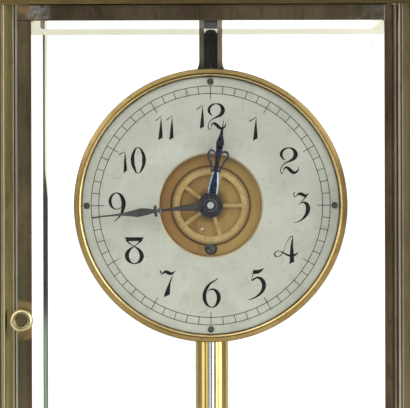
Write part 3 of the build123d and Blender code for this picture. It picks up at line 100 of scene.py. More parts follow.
class Recipe:
    """The nodes of one material, added step by step."""

    def __init__(self, name: str) -> None:
        """Start a material with one shader.

        Args:
            name: The finish's name.
        """
        self.material = bpy.data.materials.new(name)
        self.material.use_nodes = True
        self.tree = self.material.node_tree
        self.tree.nodes.clear()
        self.output = self.tree.nodes.new("ShaderNodeOutputMaterial")
        self.shader = self.tree.nodes.new("ShaderNodeBsdfPrincipled")
        self.link(self.shader.outputs[0], self.output.inputs["Surface"])

    def link(self, start: bpy.types.NodeSocket, end: bpy.types.NodeSocket) -> None:
        """Join an output to an input."""
        self.tree.links.new(start, end)

    def set(self, name: str, value: float | tuple) -> None:
        """Give one of the shader's sockets a value.

        Args:
            name: The socket's name.
            value: A number or a colour.
        """
        if isinstance(value, tuple) and len(value) == 3:
            value = (*value, 1.0)
        self.shader.inputs[name].default_value = value

    def place(
        self,
        scale: Colour = (1.0, 1.0, 1.0),
        centre: Colour = (0.0, 0.0, 0.0),
        turn: Colour = (0.0, 0.0, 0.0),
    ) -> bpy.types.NodeSocket:
        """Object coordinates, centred, turned and stretched.

        Args:
            scale: The stretch along each axis.
            centre: The point in metres that becomes the origin.
            turn: The turn about each axis in radians.

        Returns:
            The vector socket.
        """
        source = self.tree.nodes.new("ShaderNodeTexCoord")
        centred = self.tree.nodes.new("ShaderNodeMapping")
        centred.vector_type = "TEXTURE"
        centred.inputs["Location"].default_value = centre
        centred.inputs["Rotation"].default_value = turn
        self.link(source.outputs["Object"], centred.inputs["Vector"])
        stretched = self.tree.nodes.new("ShaderNodeMapping")
        stretched.inputs["Scale"].default_value = scale
        self.link(centred.outputs[0], stretched.inputs["Vector"])
        return stretched.outputs[0]

    def noise(
        self,
        vector: bpy.types.NodeSocket,
        scale: float,
        detail: float = 4.0,
        distortion: float = 0.0,
    ) -> bpy.types.NodeSocket:
        """Cloudy noise.

        Args:
            vector: Where it reads its place.
            scale: Clouds in a metre.
            detail: Octaves.
            distortion: How much it swirls.

        Returns:
            The value socket.
        """
        node = self.tree.nodes.new("ShaderNodeTexNoise")
        node.inputs["Scale"].default_value = scale
        node.inputs["Detail"].default_value = detail
        node.inputs["Distortion"].default_value = distortion
        self.link(vector, node.inputs["Vector"])
        return node.outputs[0]

    def bands(
        self, vector: bpy.types.NodeSocket, scale: float, axis: str, waver: float
    ) -> bpy.types.NodeSocket:
        """Straight bands across one axis.

        Args:
            vector: Where it reads its place.
            scale: Bands in a metre, before the wave's own factor.
            axis: The letter of the axis.
            waver: How much the bands waver.

        Returns:
            The value socket.
        """
        node = self.tree.nodes.new("ShaderNodeTexWave")
        node.wave_type = "BANDS"
        node.bands_direction = axis
        node.inputs["Scale"].default_value = scale
        node.inputs["Distortion"].default_value = waver
        self.link(vector, node.inputs["Vector"])
        return node.outputs["Fac"]

    def ramp(
        self, value: bpy.types.NodeSocket, stops: list[tuple[float, Colour]]
    ) -> bpy.types.NodeSocket:
        """A colour ramp.

        Args:
            value: What drives it.
            stops: Places from 0 to 1 with their colours.

        Returns:
            The colour socket.
        """
        node = self.tree.nodes.new("ShaderNodeValToRGB")
        elements = node.color_ramp.elements
        while len(elements) < len(stops):
            elements.new(0.5)
        for element, (position, colour) in zip(elements, stops):
            element.position = position
            element.color = (*colour, 1.0)
        self.link(value, node.inputs[0])
        return node.outputs[0]

    def level(
        self, value: bpy.types.NodeSocket, low: float, high: float, start: float = 0.3, end: float = 0.7
    ) -> bpy.types.NodeSocket:
        """A value carried from one range to another.

        Args:
            value: What drives it.
            low: The result at start.
            high: The result at end.
            start: The lowest value that counts.
            end: The highest value that counts.

        Returns:
            The value socket.
        """
        node = self.tree.nodes.new("ShaderNodeMapRange")
        node.inputs["From Min"].default_value = start
        node.inputs["From Max"].default_value = end
        node.inputs["To Min"].default_value = low
        node.inputs["To Max"].default_value = high
        self.link(value, node.inputs["Value"])
        return node.outputs[0]

    def blend(
        self,
        share: bpy.types.NodeSocket,
        first: bpy.types.NodeSocket,
        second: bpy.types.NodeSocket,
        mode: str = "MIX",
    ) -> bpy.types.NodeSocket:
        """Two colours mixed.

        Args:
            share: How much of the second.
            first: The first colour.
            second: The second colour.
            mode: The way in which they mix.

        Returns:
            The colour socket.
        """
        node = self.tree.nodes.new("ShaderNodeMix")
        node.data_type = "RGBA"
        node.blend_type = mode
        self.link(share, node.inputs[0])
        self.link(first, node.inputs[6])
        self.link(second, node.inputs[7])
        return node.outputs[2]

    def math(
        self, kind: str, first: bpy.types.NodeSocket, second: bpy.types.NodeSocket | float
    ) -> bpy.types.NodeSocket:
        """One sum on two values.

        Args:
            kind: The operation.
            first: The first value.
            second: The second value, or a number.

        Returns:
            The value socket.
        """
        node = self.tree.nodes.new("ShaderNodeMath")
        node.operation = kind
        self.link(first, node.inputs[0])
        if isinstance(second, float):
            node.inputs[1].default_value = second
        else:
            self.link(second, node.inputs[1])
        return node.outputs[0]

    def length(self, vector: bpy.types.NodeSocket) -> bpy.types.NodeSocket:
        """A vector's length.

        Args:
            vector: The vector.

        Returns:
            The value socket.
        """
        node = self.tree.nodes.new("ShaderNodeVectorMath")
        node.operation = "LENGTH"
        self.link(vector, node.inputs[0])
        return node.outputs["Value"]

    def bump(self, height: bpy.types.NodeSocket, strength: float, depth: float) -> None:
        """Marks on the surface.

        Args:
            height: The height's value.
            strength: How strong the marks are.
            depth: The depth in millimetres that a value of one stands for.
        """
        node = self.tree.nodes.new("ShaderNodeBump")
        node.inputs["Strength"].default_value = strength
        node.inputs["Distance"].default_value = depth * MM
        self.link(height, node.inputs["Height"])
        self.link(node.outputs[0], self.shader.inputs["Normal"])


@dataclass(frozen=True)
class Band:
    """A band of another tone laid into a finish: wear, stain, or a painted highlight or painted shade;
    lengths are in millimetres.
    """

    along: Along
    start: float
    end: float
    colour: Colour
    strength: float = 1.0
    soft: float = 0.15
    patches: float = 0.0
    drift: Colour = (1.0, 1.0, 1.0)
    centre: Colour = (0.0, 0.0, 0.0)
    within: Band | None = None
    gaps: int = 0
    phase: float = 0.0

    def distance(self, recipe: Recipe) -> bpy.types.NodeSocket:
        """The length that the band is measured along.

        Args:
            recipe: The material in the making.

        Returns:
            The value socket, in metres.
        """
        if self.along is Along.ROUND:
            return recipe.length(recipe.place((1.0, 0.0, 1.0), self.centre))
        parts = recipe.tree.nodes.new("ShaderNodeSeparateXYZ")
        recipe.link(recipe.place(), parts.inputs[0])
        if self.along is Along.WIDTH:
            return parts.outputs["X"]
        if self.along is Along.HEIGHT:
            return parts.outputs["Z"]
        part = parts.outputs["X" if self.along is Along.SIDE else "Y"]
        return recipe.math("ABSOLUTE", part, 0.0)

    def mask(self, recipe: Recipe) -> bpy.types.NodeSocket:
        """Where the band lies.

        Args:
            recipe: The material in the making.

        Returns:
            A value socket from 0 to 1.
        """
        distance = self.distance(recipe)
        rise = recipe.level(distance, 0.0, 1.0, (self.start - self.soft) * MM, self.start * MM)
        fall = recipe.level(distance, 1.0, 0.0, self.end * MM, (self.end + self.soft) * MM)
        share = recipe.math("MULTIPLY", rise, fall)
        if self.patches:
            spread = recipe.noise(recipe.place(self.drift), self.patches, 6.0, 0.5)
            share = recipe.math("MULTIPLY", share, recipe.level(spread, 0.0, 1.0, *PATCH_EDGE))
        if self.within:
            share = recipe.math("MULTIPLY", share, self.within.mask(recipe))
        if self.gaps:
            share = recipe.math("MULTIPLY", share, self.comb(recipe))
        return recipe.math("MULTIPLY", share, self.strength)

    def comb(self, recipe: Recipe) -> bpy.types.NodeSocket:
        """Equal gaps round the band's centre, as between a wheel's teeth.

        Args:
            recipe: The material in the making.

        Returns:
            A value socket from 0 on a tooth to 1 in a gap.
        """
        parts = recipe.tree.nodes.new("ShaderNodeSeparateXYZ")
        recipe.link(recipe.place(centre=self.centre), parts.inputs[0])
        angle = recipe.math("ARCTAN2", parts.outputs["Z"], parts.outputs["X"])
        turn = recipe.math("MULTIPLY", recipe.math("SUBTRACT", angle, self.phase), float(self.gaps))
        return recipe.level(recipe.math("COSINE", turn, 0.0), 1.0, 0.0, *GAP_EDGE)

    def laid(
        self, recipe: Recipe, colour: bpy.types.NodeSocket, clouds: bpy.types.NodeSocket
    ) -> bpy.types.NodeSocket:
        """The band over what lies under it.

        Args:
            recipe: The material in the making.
            colour: What lies under it.
            clouds: The finish's clouds.

        Returns:
            The colour socket.
        """
        shade = mix(self.colour, BLACK, 0.25)
        paint = recipe.ramp(clouds, [(0.3, shade), (0.7, self.colour)])
        return recipe.blend(self.mask(recipe), colour, paint)


@dataclass(frozen=True)
class Metal:
    """A metal with clouds of tone, tarnish, fine grain and handling marks, and an optional glow that is
    painted light.
    """

    name: str
    dark: Colour
    light: Colour
    tarnish: Colour
    tarnish_from: float = 0.56
    tarnish_to: float = 0.72
    clouds: float = 55.0
    rough_low: float = 0.18
    rough_high: float = 0.38
    grain: Grain = Grain.NONE
    grain_scale: float = 2200.0
    grain_depth: float = 0.012
    centre: Colour = (0.0, 0.0, 0.0)
    metallic: float = 1.0
    drift: Colour = (1.0, 1.0, 1.0)
    bands: tuple[Band, ...] = ()
    # Emission strength: any glow here is painted light, not a lamp.
    painted_glow: float = 0.0

    def make(self) -> bpy.types.Material:
        """Build the material."""
        recipe = Recipe(self.name)
        place = recipe.place(self.drift)
        clouds = recipe.noise(place, self.clouds, 5.0, 0.6)
        tone = recipe.ramp(clouds, [(0.32, self.dark), (0.66, self.light)])
        spots = recipe.noise(place, self.clouds * SPOT_SHARE, 8.0, 1.2)
        share = recipe.level(spots, 0.0, 1.0, self.tarnish_from, self.tarnish_to)
        stain = recipe.ramp(clouds, [(0.3, self.tarnish), (0.7, mix(self.tarnish, self.dark, 0.5))])
        colour = recipe.blend(share, tone, stain)
        for band in self.bands:
            colour = band.laid(recipe, colour, clouds)
        recipe.link(colour, recipe.shader.inputs["Base Color"])
        # The glow makes the finish's own colour shine: painted light.
        recipe.link(colour, recipe.shader.inputs["Emission Color"])
        recipe.set("Emission Strength", self.painted_glow)
        recipe.set("Metallic", self.metallic)
        marks = recipe.noise(self.grain_place(recipe), self.grain_scale, 3.0)
        smear = recipe.math("MULTIPLY", marks, MARK_WEAR)
        wear = recipe.math("ADD", recipe.math("MULTIPLY", spots, SPOT_WEAR), smear)
        rough = recipe.level(wear, self.rough_low, self.rough_high)
        recipe.link(rough, recipe.shader.inputs["Roughness"])
        recipe.bump(marks, 0.5, self.grain_depth)
        return recipe.material

    def grain_place(self, recipe: Recipe) -> bpy.types.NodeSocket:
        """The stretched place that the fine marks read.

        Args:
            recipe: The material in the making.

        Returns:
            The vector socket.
        """
        if self.grain is Grain.ACROSS:
            return recipe.place((0.03, 1.0, 1.0))
        if self.grain is Grain.UPRIGHT:
            return recipe.place((1.0, 1.0, 0.03))
        if self.grain is Grain.TURNED:
            ringed = recipe.place((1.0, 1.0, 0.0), self.centre, (pi / 2, 0.0, 0.0))
            joined = recipe.tree.nodes.new("ShaderNodeCombineXYZ")
            recipe.link(recipe.length(ringed), joined.inputs["X"])
            return joined.outputs[0]
        return recipe.place()


@dataclass(frozen=True)
class Clear:
    """Ground plate glass; lamps shine through it."""

    name: str = "plate_glass"
    tint: Colour = (0.985, 1.0, 0.992)
    index: float = 1.5

    def make(self) -> bpy.types.Material:
        """Build the material."""
        recipe = Recipe(self.name)
        haze = recipe.noise(recipe.place(), 38.0, 6.0, 0.4)
        recipe.set("Base Color", self.tint)
        recipe.set("Transmission Weight", 1.0)
        recipe.set("IOR", self.index)
        recipe.link(recipe.level(haze, 0.0, 0.012, 0.5, 0.85), recipe.shader.inputs["Roughness"])
        path = recipe.tree.nodes.new("ShaderNodeLightPath")
        through = recipe.math("MAXIMUM", path.outputs["Is Shadow Ray"], path.outputs["Is Diffuse Ray"])
        window = recipe.tree.nodes.new("ShaderNodeBsdfTransparent")
        window.inputs[0].default_value = (*self.tint, 1.0)
        either = recipe.tree.nodes.new("ShaderNodeMixShader")
        recipe.link(through, either.inputs[0])
        recipe.link(recipe.shader.outputs[0], either.inputs[1])
        recipe.link(window.outputs[0], either.inputs[2])
        recipe.link(either.outputs[0], recipe.output.inputs["Surface"])
        return recipe.material


@dataclass(frozen=True)
class Enamelled:
    """Paint, ink, ebonite or another finish that isn't bare metal."""

    name: str
    dark: Colour
    light: Colour
    rough_low: float = 0.35
    rough_high: float = 0.55
    clouds: float = 120.0
    pores: float = 1800.0
    depth: float = 0.01
    sheen: float = 0.0
    gloss: float = 0.5

    def make(self) -> bpy.types.Material:
        """Build the material."""
        recipe = Recipe(self.name)
        place = recipe.place()
        clouds = recipe.noise(place, self.clouds, 5.0, 0.3)
        tone = recipe.ramp(clouds, [(0.3, self.dark), (0.7, self.light)])
        recipe.link(tone, recipe.shader.inputs["Base Color"])
        pores = recipe.noise(place, self.pores, 3.0)
        rough = recipe.level(pores, self.rough_low, self.rough_high)
        recipe.link(rough, recipe.shader.inputs["Roughness"])
        recipe.set("Sheen Weight", self.sheen)
        recipe.set("Specular IOR Level", self.gloss)
        recipe.bump(pores, 0.5, self.depth)
        return recipe.material


@dataclass(frozen=True)
class Wound:
    """Thread, tape or braid wound closely round a bar that lies along one axis."""

    name: str
    dark: Colour
    light: Colour
    axis: str
    turns: float
    depth: float

    def make(self) -> bpy.types.Material:
        """Build the material."""
        recipe = Recipe(self.name)
        place = recipe.place()
        lays = recipe.bands(place, self.turns, self.axis, 0.6)
        clouds = recipe.noise(place, 160.0, 6.0, 0.4)
        worn = recipe.ramp(clouds, [(0.3, self.dark), (0.72, self.light)])
        # Darker in the hollows between the lays.
        hollow_dark = recipe.ramp(clouds, [(0.3, mix(self.dark, BLACK, 0.5)), (0.7, self.dark)])
        hollow = recipe.level(lays, 1.0, 0.0, 0.0, 0.45)
        recipe.link(recipe.blend(hollow, worn, hollow_dark), recipe.shader.inputs["Base Color"])
        fibre = recipe.noise(place, 3200.0, 4.0)
        recipe.link(recipe.level(fibre, 0.65, 0.9), recipe.shader.inputs["Roughness"])
        recipe.set("Sheen Weight", 0.3)
        height = recipe.math("ADD", lays, recipe.math("MULTIPLY", fibre, 0.3))
        recipe.bump(height, 0.7, self.depth)
        return recipe.material


def mix(first: Colour, second: Colour, share: float) -> Colour:
    """A colour between two others."""
    return tuple(a + (b - a) * share for a, b in zip(first, second))


Finish = Metal | Clear | Enamelled | Wound


class Palette:
    """Makes each finish once and puts it on pieces."""

    def __init__(self) -> None:
        """Start with nothing made."""
        self.made: dict[str, bpy.types.Material] = {}

    def material(self, finish: Finish) -> bpy.types.Material:
        """The finish's material.

        Args:
            finish: The finish.

        Returns:
            Its material, made on the first call.
        """
        if finish.name not in self.made:
            self.made[finish.name] = finish.make()
        return self.made[finish.name]

    def dress(self, piece: bpy.types.Object, finish: Finish) -> None:
        """Put a finish all over a piece.

        Args:
            piece: The piece.
            finish: The finish.
        """
        piece.data.materials.clear()
        piece.data.materials.append(self.material(finish))

    def dress_faces(self, piece: bpy.types.Object, finish: Finish, chosen: Callable[[Vector], bool]) -> None:
        """Put another finish on some of a piece's faces.

        Args:
            piece: The piece.
            finish: The finish.
            chosen: Says whether a face with this middle takes it.
        """
        piece.data.materials.append(self.material(finish))
        index = len(piece.data.materials) - 1
        for face in piece.data.polygons:
            if chosen(face.center):
                face.material_index = index

    def dress_nodes(self, dressing: dict[str, Finish]) -> None:
        """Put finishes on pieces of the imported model.

        Args:
            dressing: Each node's finish.
        """
        for name, finish in dressing.items():
            self.dress(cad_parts[name], finish)
            log.info("dressed %s in %s", name, finish.name)


def fix(piece: bpy.types.Object, body: str, stands_for: str = "") -> None:
    """Fix a new piece to a body.

    Args:
        piece: The piece.
        body: What it moves with.
        stands_for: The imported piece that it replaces, if any.
    """
    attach(piece, body)
    if stands_for:
        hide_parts(stands_for)
    log.info("made %s", piece.name)


def rectangle(left: float, right: float, foot: float, top: float) -> Outline:
    """The outline of a rectangle."""
    return [(left, foot), (right, foot), (right, top), (left, top)]


class Bench:
    """Makes new pieces from primitives,
    outlines and strokes that lie flat on a plane that faces the front."""

    def __init__(self, centre: Vector) -> None:
        """Set the point that outlines are drawn about.

        Args:
            centre: The point in metres.
        """
        self.centre = centre

    @staticmethod
    def clear() -> None:
        """Leave nothing selected."""
        bpy.ops.object.select_all(action="DESELECT")

    def plate(
        self, name: str, outline: Outline, front: float, back: float, chamfer: float = 0.0, drop: float = 0.0
    ) -> bpy.types.Object:
        """A flat piece with a closed outline.

        Args:
            name: The piece's name.
            outline: Points in millimetres, as X and Z about the centre.
            front: The front face's Y in millimetres.
            back: The back face's Y in millimetres.
            chamfer: The width of the chamfer round the front face.
            drop: The chamfer's depth, where it isn't its width.

        Returns:
            The piece.
        """
        self.clear()
        bpy.ops.mesh.primitive_circle_add(vertices=len(outline), radius=0.01, fill_type="NGON")
        piece = bpy.context.object
        piece.name = name
        for vertex, (x, z) in zip(piece.data.vertices, outline):
            vertex.co = (self.centre.x + x * MM, back * MM, self.centre.z + z * MM)
        bpy.ops.object.mode_set(mode="EDIT")
        bpy.ops.mesh.select_all(action="SELECT")
        drop = drop or chamfer
        shift = (0.0, (front + drop - back) * MM, 0.0)
        bpy.ops.mesh.extrude_region_move(TRANSFORM_OT_translate={"value": shift})
        if chamfer:
            bpy.ops.mesh.inset(thickness=chamfer * MM, depth=0.0)
            bpy.ops.transform.translate(value=(0.0, -drop * MM, 0.0))
        bpy.ops.mesh.select_all(action="SELECT")
        bpy.ops.mesh.normals_make_consistent(inside=False)
        bpy.ops.object.mode_set(mode="OBJECT")
        return piece

    def ring(
        self, name: str, outer: float, inner: float, front: float, back: float, sides: int = 180
    ) -> bpy.types.Object:
        """A flat ring.

        Args:
            name: The piece's name.
            outer: The outer radius in millimetres.
            inner: The inner radius.
            front: The front face's Y.
            back: The back face's Y.
            sides: The number of facets round it.

        Returns:
            The piece.
        """
        self.clear()
        place = (self.centre.x, back * MM, self.centre.z)
        bpy.ops.mesh.primitive_circle_add(
            vertices=sides, radius=outer * MM, location=place, rotation=(pi / 2, 0.0, 0.0)
        )
        piece = bpy.context.object
        piece.name = name
        bpy.ops.object.transform_apply(location=True, rotation=True, scale=True)
        bpy.ops.object.mode_set(mode="EDIT")
        bpy.ops.mesh.select_all(action="SELECT")
        bpy.ops.mesh.extrude_edges_move()
        share = inner / outer
        bpy.ops.transform.resize(value=(share, 1.0, share), center_override=place)
        bpy.ops.mesh.select_all(action="SELECT")
        shift = (0.0, (front - back) * MM, 0.0)
        bpy.ops.mesh.extrude_region_move(TRANSFORM_OT_translate={"value": shift})
        bpy.ops.mesh.select_all(action="SELECT")
        bpy.ops.mesh.normals_make_consistent(inside=False)
        bpy.ops.object.mode_set(mode="OBJECT")
        return piece

    def turned(self, name: str, profile: Outline, steps: int = 180) -> bpy.types.Object:
        """A turned piece: a closed profile spun about the centre.

        Args:
            name: The piece's name.
            profile: Points in millimetres, as the radius and Y.
            steps: The number of facets round it.

        Returns:
            The piece.
        """
        self.clear()
        bpy.ops.mesh.primitive_circle_add(vertices=len(profile), radius=0.01)
        piece = bpy.context.object
        piece.name = name
        for vertex, (radius, y) in zip(piece.data.vertices, profile):
            vertex.co = (self.centre.x + radius * MM, y * MM, self.centre.z)
        bpy.ops.object.mode_set(mode="EDIT")
        bpy.ops.mesh.select_all(action="SELECT")
        middle = (self.centre.x, 0.0, self.centre.z)
        bpy.ops.mesh.spin(steps=steps, angle=2 * pi, center=middle, axis=(0.0, 1.0, 0.0))
        bpy.ops.mesh.select_all(action="SELECT")
        bpy.ops.mesh.remove_doubles(threshold=1e-6)
        bpy.ops.mesh.normals_make_consistent(inside=False)
        bpy.ops.object.mode_set(mode="OBJECT")
        bpy.ops.object.shade_smooth_by_angle(angle=radians(35.0))
        return piece

    def strokes(
        self, name: str, lines: list[Stroke], middle: float, share: float, closed: bool = False
    ) -> bpy.types.Object:
        """Pen or file strokes of changing width, flattened on a plane.

        Args:
            name: The piece's name.
            lines: Strokes; each point is X, Z and half the width in millimetres.
            middle: The plane's Y in millimetres.
            share: The stroke's height as a share of its width.
            closed: Whether each stroke ends where it starts.

        Returns:
            The piece.
        """
        self.clear()
        curve = bpy.data.curves.new(name, "CURVE")
        curve.dimensions = "3D"
        curve.bevel_depth = MM
        curve.bevel_resolution = 2
        curve.resolution_u = 8
        curve.use_fill_caps = not closed
        for line in lines:
            spline = curve.splines.new("BEZIER")
            spline.bezier_points.add(len(line) - 1)
            spline.use_cyclic_u = closed
            for point, (x, z, half) in zip(spline.bezier_points, line):
                point.co = (self.centre.x + x * MM, 0.0, self.centre.z + z * MM)
                point.radius = half
                point.handle_left_type = "AUTO"
                point.handle_right_type = "AUTO"
        piece = bpy.data.objects.new(name, curve)
        bpy.context.scene.collection.objects.link(piece)
        piece.select_set(True)
        bpy.context.view_layer.objects.active = piece
        bpy.ops.object.convert(target="MESH")
        piece = bpy.context.object
        for vertex in piece.data.vertices:
            vertex.co.y = middle * MM + vertex.co.y * share
        return piece

    def join(self, name: str, pieces: list[bpy.types.Object]) -> bpy.types.Object:
        """Make several meshes one piece.

        Args:
            name: The joined piece's name.
            pieces: The meshes.

        Returns:
            The piece.
        """
        self.clear()
        for piece in pieces:
            piece.select_set(True)
        bpy.context.view_layer.objects.active = pieces[0]
        bpy.ops.object.join()
        piece = bpy.context.object
        piece.name = name
        return piece

    def turn(self, piece: bpy.types.Object, clockwise: float) -> None:
        """Turn a piece about the centre, as seen from the front.

        Args:
            piece: The piece.
            clockwise: The angle in degrees.
        """
        there = Matrix.Translation(self.centre)
        spin = Matrix.Rotation(radians(clockwise), 4, "Y")
        piece.data.transform(there @ spin @ there.inverted())


def between(low: float, high: float, soft: float = 0.6) -> Band:
    """The heights that another band keeps within."""
    return Band(Along.HEIGHT, low, high, BLACK, 1.0, soft)


@dataclass(frozen=True)
class Finishes:
    """The clock's finishes.

    A metal gives its name, its dark, light and tarnish colours, where the tarnish starts and is full,
    its clouds in a metre, its least and greatest roughness, and its grain.
    """

    centre: Colour
    olive_brass: Metal = Metal(
        "olive_brass", (0.25, 0.21, 0.08), (0.46, 0.38, 0.16), (0.14, 0.17, 0.08), 0.5, 0.72, 42.0, 0.24,
        0.42,
        Grain.UPRIGHT, drift=(1.0, 1.0, 0.22),
        bands=(
            # The light lines are painted highlights along the posts' beads and edges, and the narrow dark
            # lines beside them painted shade.
            Band(Along.SIDE, 97.2, 99.6, (0.09, 0.085, 0.035), 0.85, 0.3),
            Band(Along.SIDE, 95.5, 96.9, (0.66, 0.57, 0.38), 0.9, 0.25),
            Band(Along.SIDE, 94.6, 95.1, (0.10, 0.06, 0.035), 0.9),
            Band(Along.WIDTH, -93.3, -91.6, (0.22, 0.23, 0.055), 0.8, 0.3, 30.0, (1.0, 1.0, 0.1)),
            Band(Along.WIDTH, 91.6, 94.4, (0.36, 0.29, 0.17), 0.7, 0.3),
            Band(Along.SIDE, 90.95, 91.4, (0.8, 0.7, 0.5), 0.85),
            Band(Along.SIDE, 90.3, 90.75, (0.09, 0.05, 0.04), 0.9),
            Band(Along.SIDE, 89.4, 90.1, (0.9, 0.84, 0.72), 0.9),
            Band(Along.DEPTH, 72.0, 73.4, (0.8, 0.72, 0.5), 0.8, 0.25),
            Band(Along.DEPTH, 71.1, 71.6, (0.10, 0.06, 0.035), 0.8),
            Band(Along.DEPTH, 67.4, 67.9, (0.8, 0.7, 0.5), 0.7),
        ),
    )
    brown_brass: Metal = Metal(
        "brown_brass", (0.125, 0.095, 0.058), (0.25, 0.2, 0.115), (0.085, 0.055, 0.06), 0.5, 0.75, 60.0,
        0.24, 0.42, Grain.UPRIGHT, drift=(0.55, 1.0, 0.3),
        bands=(
            Band(Along.SIDE, 82.7, 84.2, (0.19, 0.09, 0.055), 0.45, 0.4, 22.0, (1.0, 1.0, 0.2)),
            Band(Along.SIDE, 85.6, 88.0, (0.22, 0.22, 0.1), 0.5, 0.6, 26.0, (1.0, 1.0, 0.25)),
            Band(Along.WIDTH, -89.0, -80.0, (0.52, 0.34, 0.16), 0.75, 4.0, 170.0, within=between(*TOP_RAIL)),
            # Painted shade on the hinge edge, dulling its highlight.
            Band(Along.WIDTH, 86.4, 89.4, (0.07, 0.045, 0.03), 0.8, 0.5),
            Band(Along.WIDTH, -83.0, -75.0, (0.55, 0.54, 0.56), 0.8, 2.5, 420.0, within=between(*SCRATCHED)),
            Band(Along.WIDTH, 66.0, 82.4, (0.35, 0.34, 0.3), 0.6, 4.0, 260.0, within=between(*TOP_RAIL)),
            Band(Along.WIDTH, 82.5, 82.95, (0.72, 0.66, 0.52), 0.85, 0.1, within=between(326.2, 334.0, 0.4)),
            Band(Along.WIDTH, -89.3, -82.7, (0.05, 0.04, 0.03), 0.8, 0.1, within=between(326.2, 326.6, 0.1)),
            Band(
                Along.WIDTH, -90.0, -80.0, (0.62, 0.42, 0.16), 0.75, 2.0, 120.0,
                within=Band(Along.ROUND, 4.8, 8.4, BLACK, 1.0, 1.6, centre=KNOB_CENTRE),
            ),
        ),
    )
    rail_brass: Metal = Metal(
        "rail_brass", (0.085, 0.06, 0.035), (0.20, 0.145, 0.07), (0.05, 0.035, 0.04), 0.48, 0.72, 60.0,
        0.22, 0.42,
        Grain.ACROSS,
    )
    cornice_brass: Metal = Metal(
        "cornice_brass", (0.2, 0.14, 0.052), (0.37, 0.265, 0.1), (0.1, 0.075, 0.04), 0.5, 0.75, 45.0, 0.24,
        0.42,
        Grain.ACROSS, drift=(0.2, 0.2, 1.0),
        bands=(Band(Along.WIDTH, 0.0, 110.0, (0.15, 0.13, 0.06), 0.55, 60.0),),
    )
    column_brass: Metal = Metal(
        "column_brass", (0.8, 0.56, 0.15), (0.95, 0.72, 0.27), (0.6, 0.38, 0.12), 0.62, 0.8, 40.0, 0.07, 0.15,
        Grain.UPRIGHT, drift=(1.0, 1.0, 0.1),
    )
    pale_brass: Metal = Metal(
        "pale_brass", (0.55, 0.42, 0.19), (0.8, 0.64, 0.33), (0.3, 0.2, 0.08), 0.6, 0.75, 80.0, 0.18, 0.36
    )
    # Pale finish that glows: painted light on the rear beads and the block's top edge, where no lamp lights
    # them.
    pale_glowing_bead: Metal = Metal(
        "pale_glowing_bead", (0.86, 0.82, 0.66), (0.95, 0.92, 0.79), (0.8, 0.77, 0.6), 0.6, 0.8, 45.0, 0.5, 0.7,
        Grain.ACROSS, metallic=0.0, painted_glow=0.62,
    )
    strip_zinc: Metal = Metal(
        "strip_zinc", (0.10, 0.10, 0.09), (0.17, 0.17, 0.15), (0.12, 0.09, 0.07), 0.5, 0.7, 40.0, 0.4, 0.6,
        Grain.UPRIGHT, metallic=0.2, drift=(1.0, 1.0, 0.2),
        bands=(
            Band(Along.WIDTH, -83.5, -81.0, (0.62, 0.72, 0.6), 0.85, 0.2, within=between(40.0, 176.0, 14.0)),
            Band(Along.WIDTH, -82.3, -81.0, (0.16, 0.28, 0.25), 0.7, 0.3),
            Band(Along.HEIGHT, 266.0, 334.0, (0.42, 0.42, 0.38), 0.85, 16.0),
            Band(Along.HEIGHT, 196.0, 244.0, (0.05, 0.05, 0.045), 0.7, 12.0),
        ),
    )
    knob_brass: Metal = Metal(
        "knob_brass", (0.6, 0.5, 0.24), (0.85, 0.74, 0.42), (0.3, 0.22, 0.1), 0.6, 0.78, 120.0, 0.2, 0.36,
        bands=(Band(Along.ROUND, 0.0, 3.6, (0.26, 0.21, 0.11), 0.95, 0.3, centre=KNOB_CENTRE),),
    )
    gilt: Metal = Metal(
        "gilt_wheels", (0.72, 0.5, 0.2), (0.86, 0.64, 0.3), (0.5, 0.32, 0.12), 0.56, 0.75, 120.0, 0.3, 0.48
    )
    dark_screw: Metal = Metal(
        "dark_screw", (0.09, 0.09, 0.075), (0.22, 0.22, 0.18), (0.03, 0.03, 0.025), 0.5, 0.7, 260.0, 0.25,
        0.45
    )
    leaf_steel: Metal = Metal(
        "leaf_steel", (0.1, 0.105, 0.12), (0.4, 0.42, 0.45), (0.03, 0.03, 0.035), 0.48, 0.55, 900.0, 0.25, 0.4
    )
    tip_steel: Metal = Metal(
        "tip_steel", (0.8, 0.8, 0.78), (0.95, 0.95, 0.93), (0.6, 0.58, 0.55), 0.66, 0.82, 60.0, 0.3, 0.4
    )
    screw_steel: Metal = Metal(
        "screw_steel", (0.32, 0.31, 0.3), (0.6, 0.59, 0.57), (0.12, 0.09, 0.07), 0.55, 0.75, 150.0, 0.18, 0.35
    )
    bright_steel: Metal = Metal(
        "bright_steel", (0.92, 0.92, 0.92), (1.0, 1.0, 0.99), (0.6, 0.57, 0.54), 0.65, 0.82, 50.0, 0.06, 0.14,
        Grain.UPRIGHT, drift=(1.0, 1.0, 0.1),
    )
    blued: Metal = Metal(
        "blued_steel", (0.05, 0.052, 0.085), (0.085, 0.09, 0.15), (0.065, 0.05, 0.075), 0.52, 0.8, 110.0,
        0.2, 0.34
    )
    slate: Metal = Metal(
        "slate_steel", (0.13, 0.125, 0.13), (0.2, 0.195, 0.21), (0.17, 0.12, 0.11), 0.5, 0.78, 70.0, 0.24,
        0.38
    )
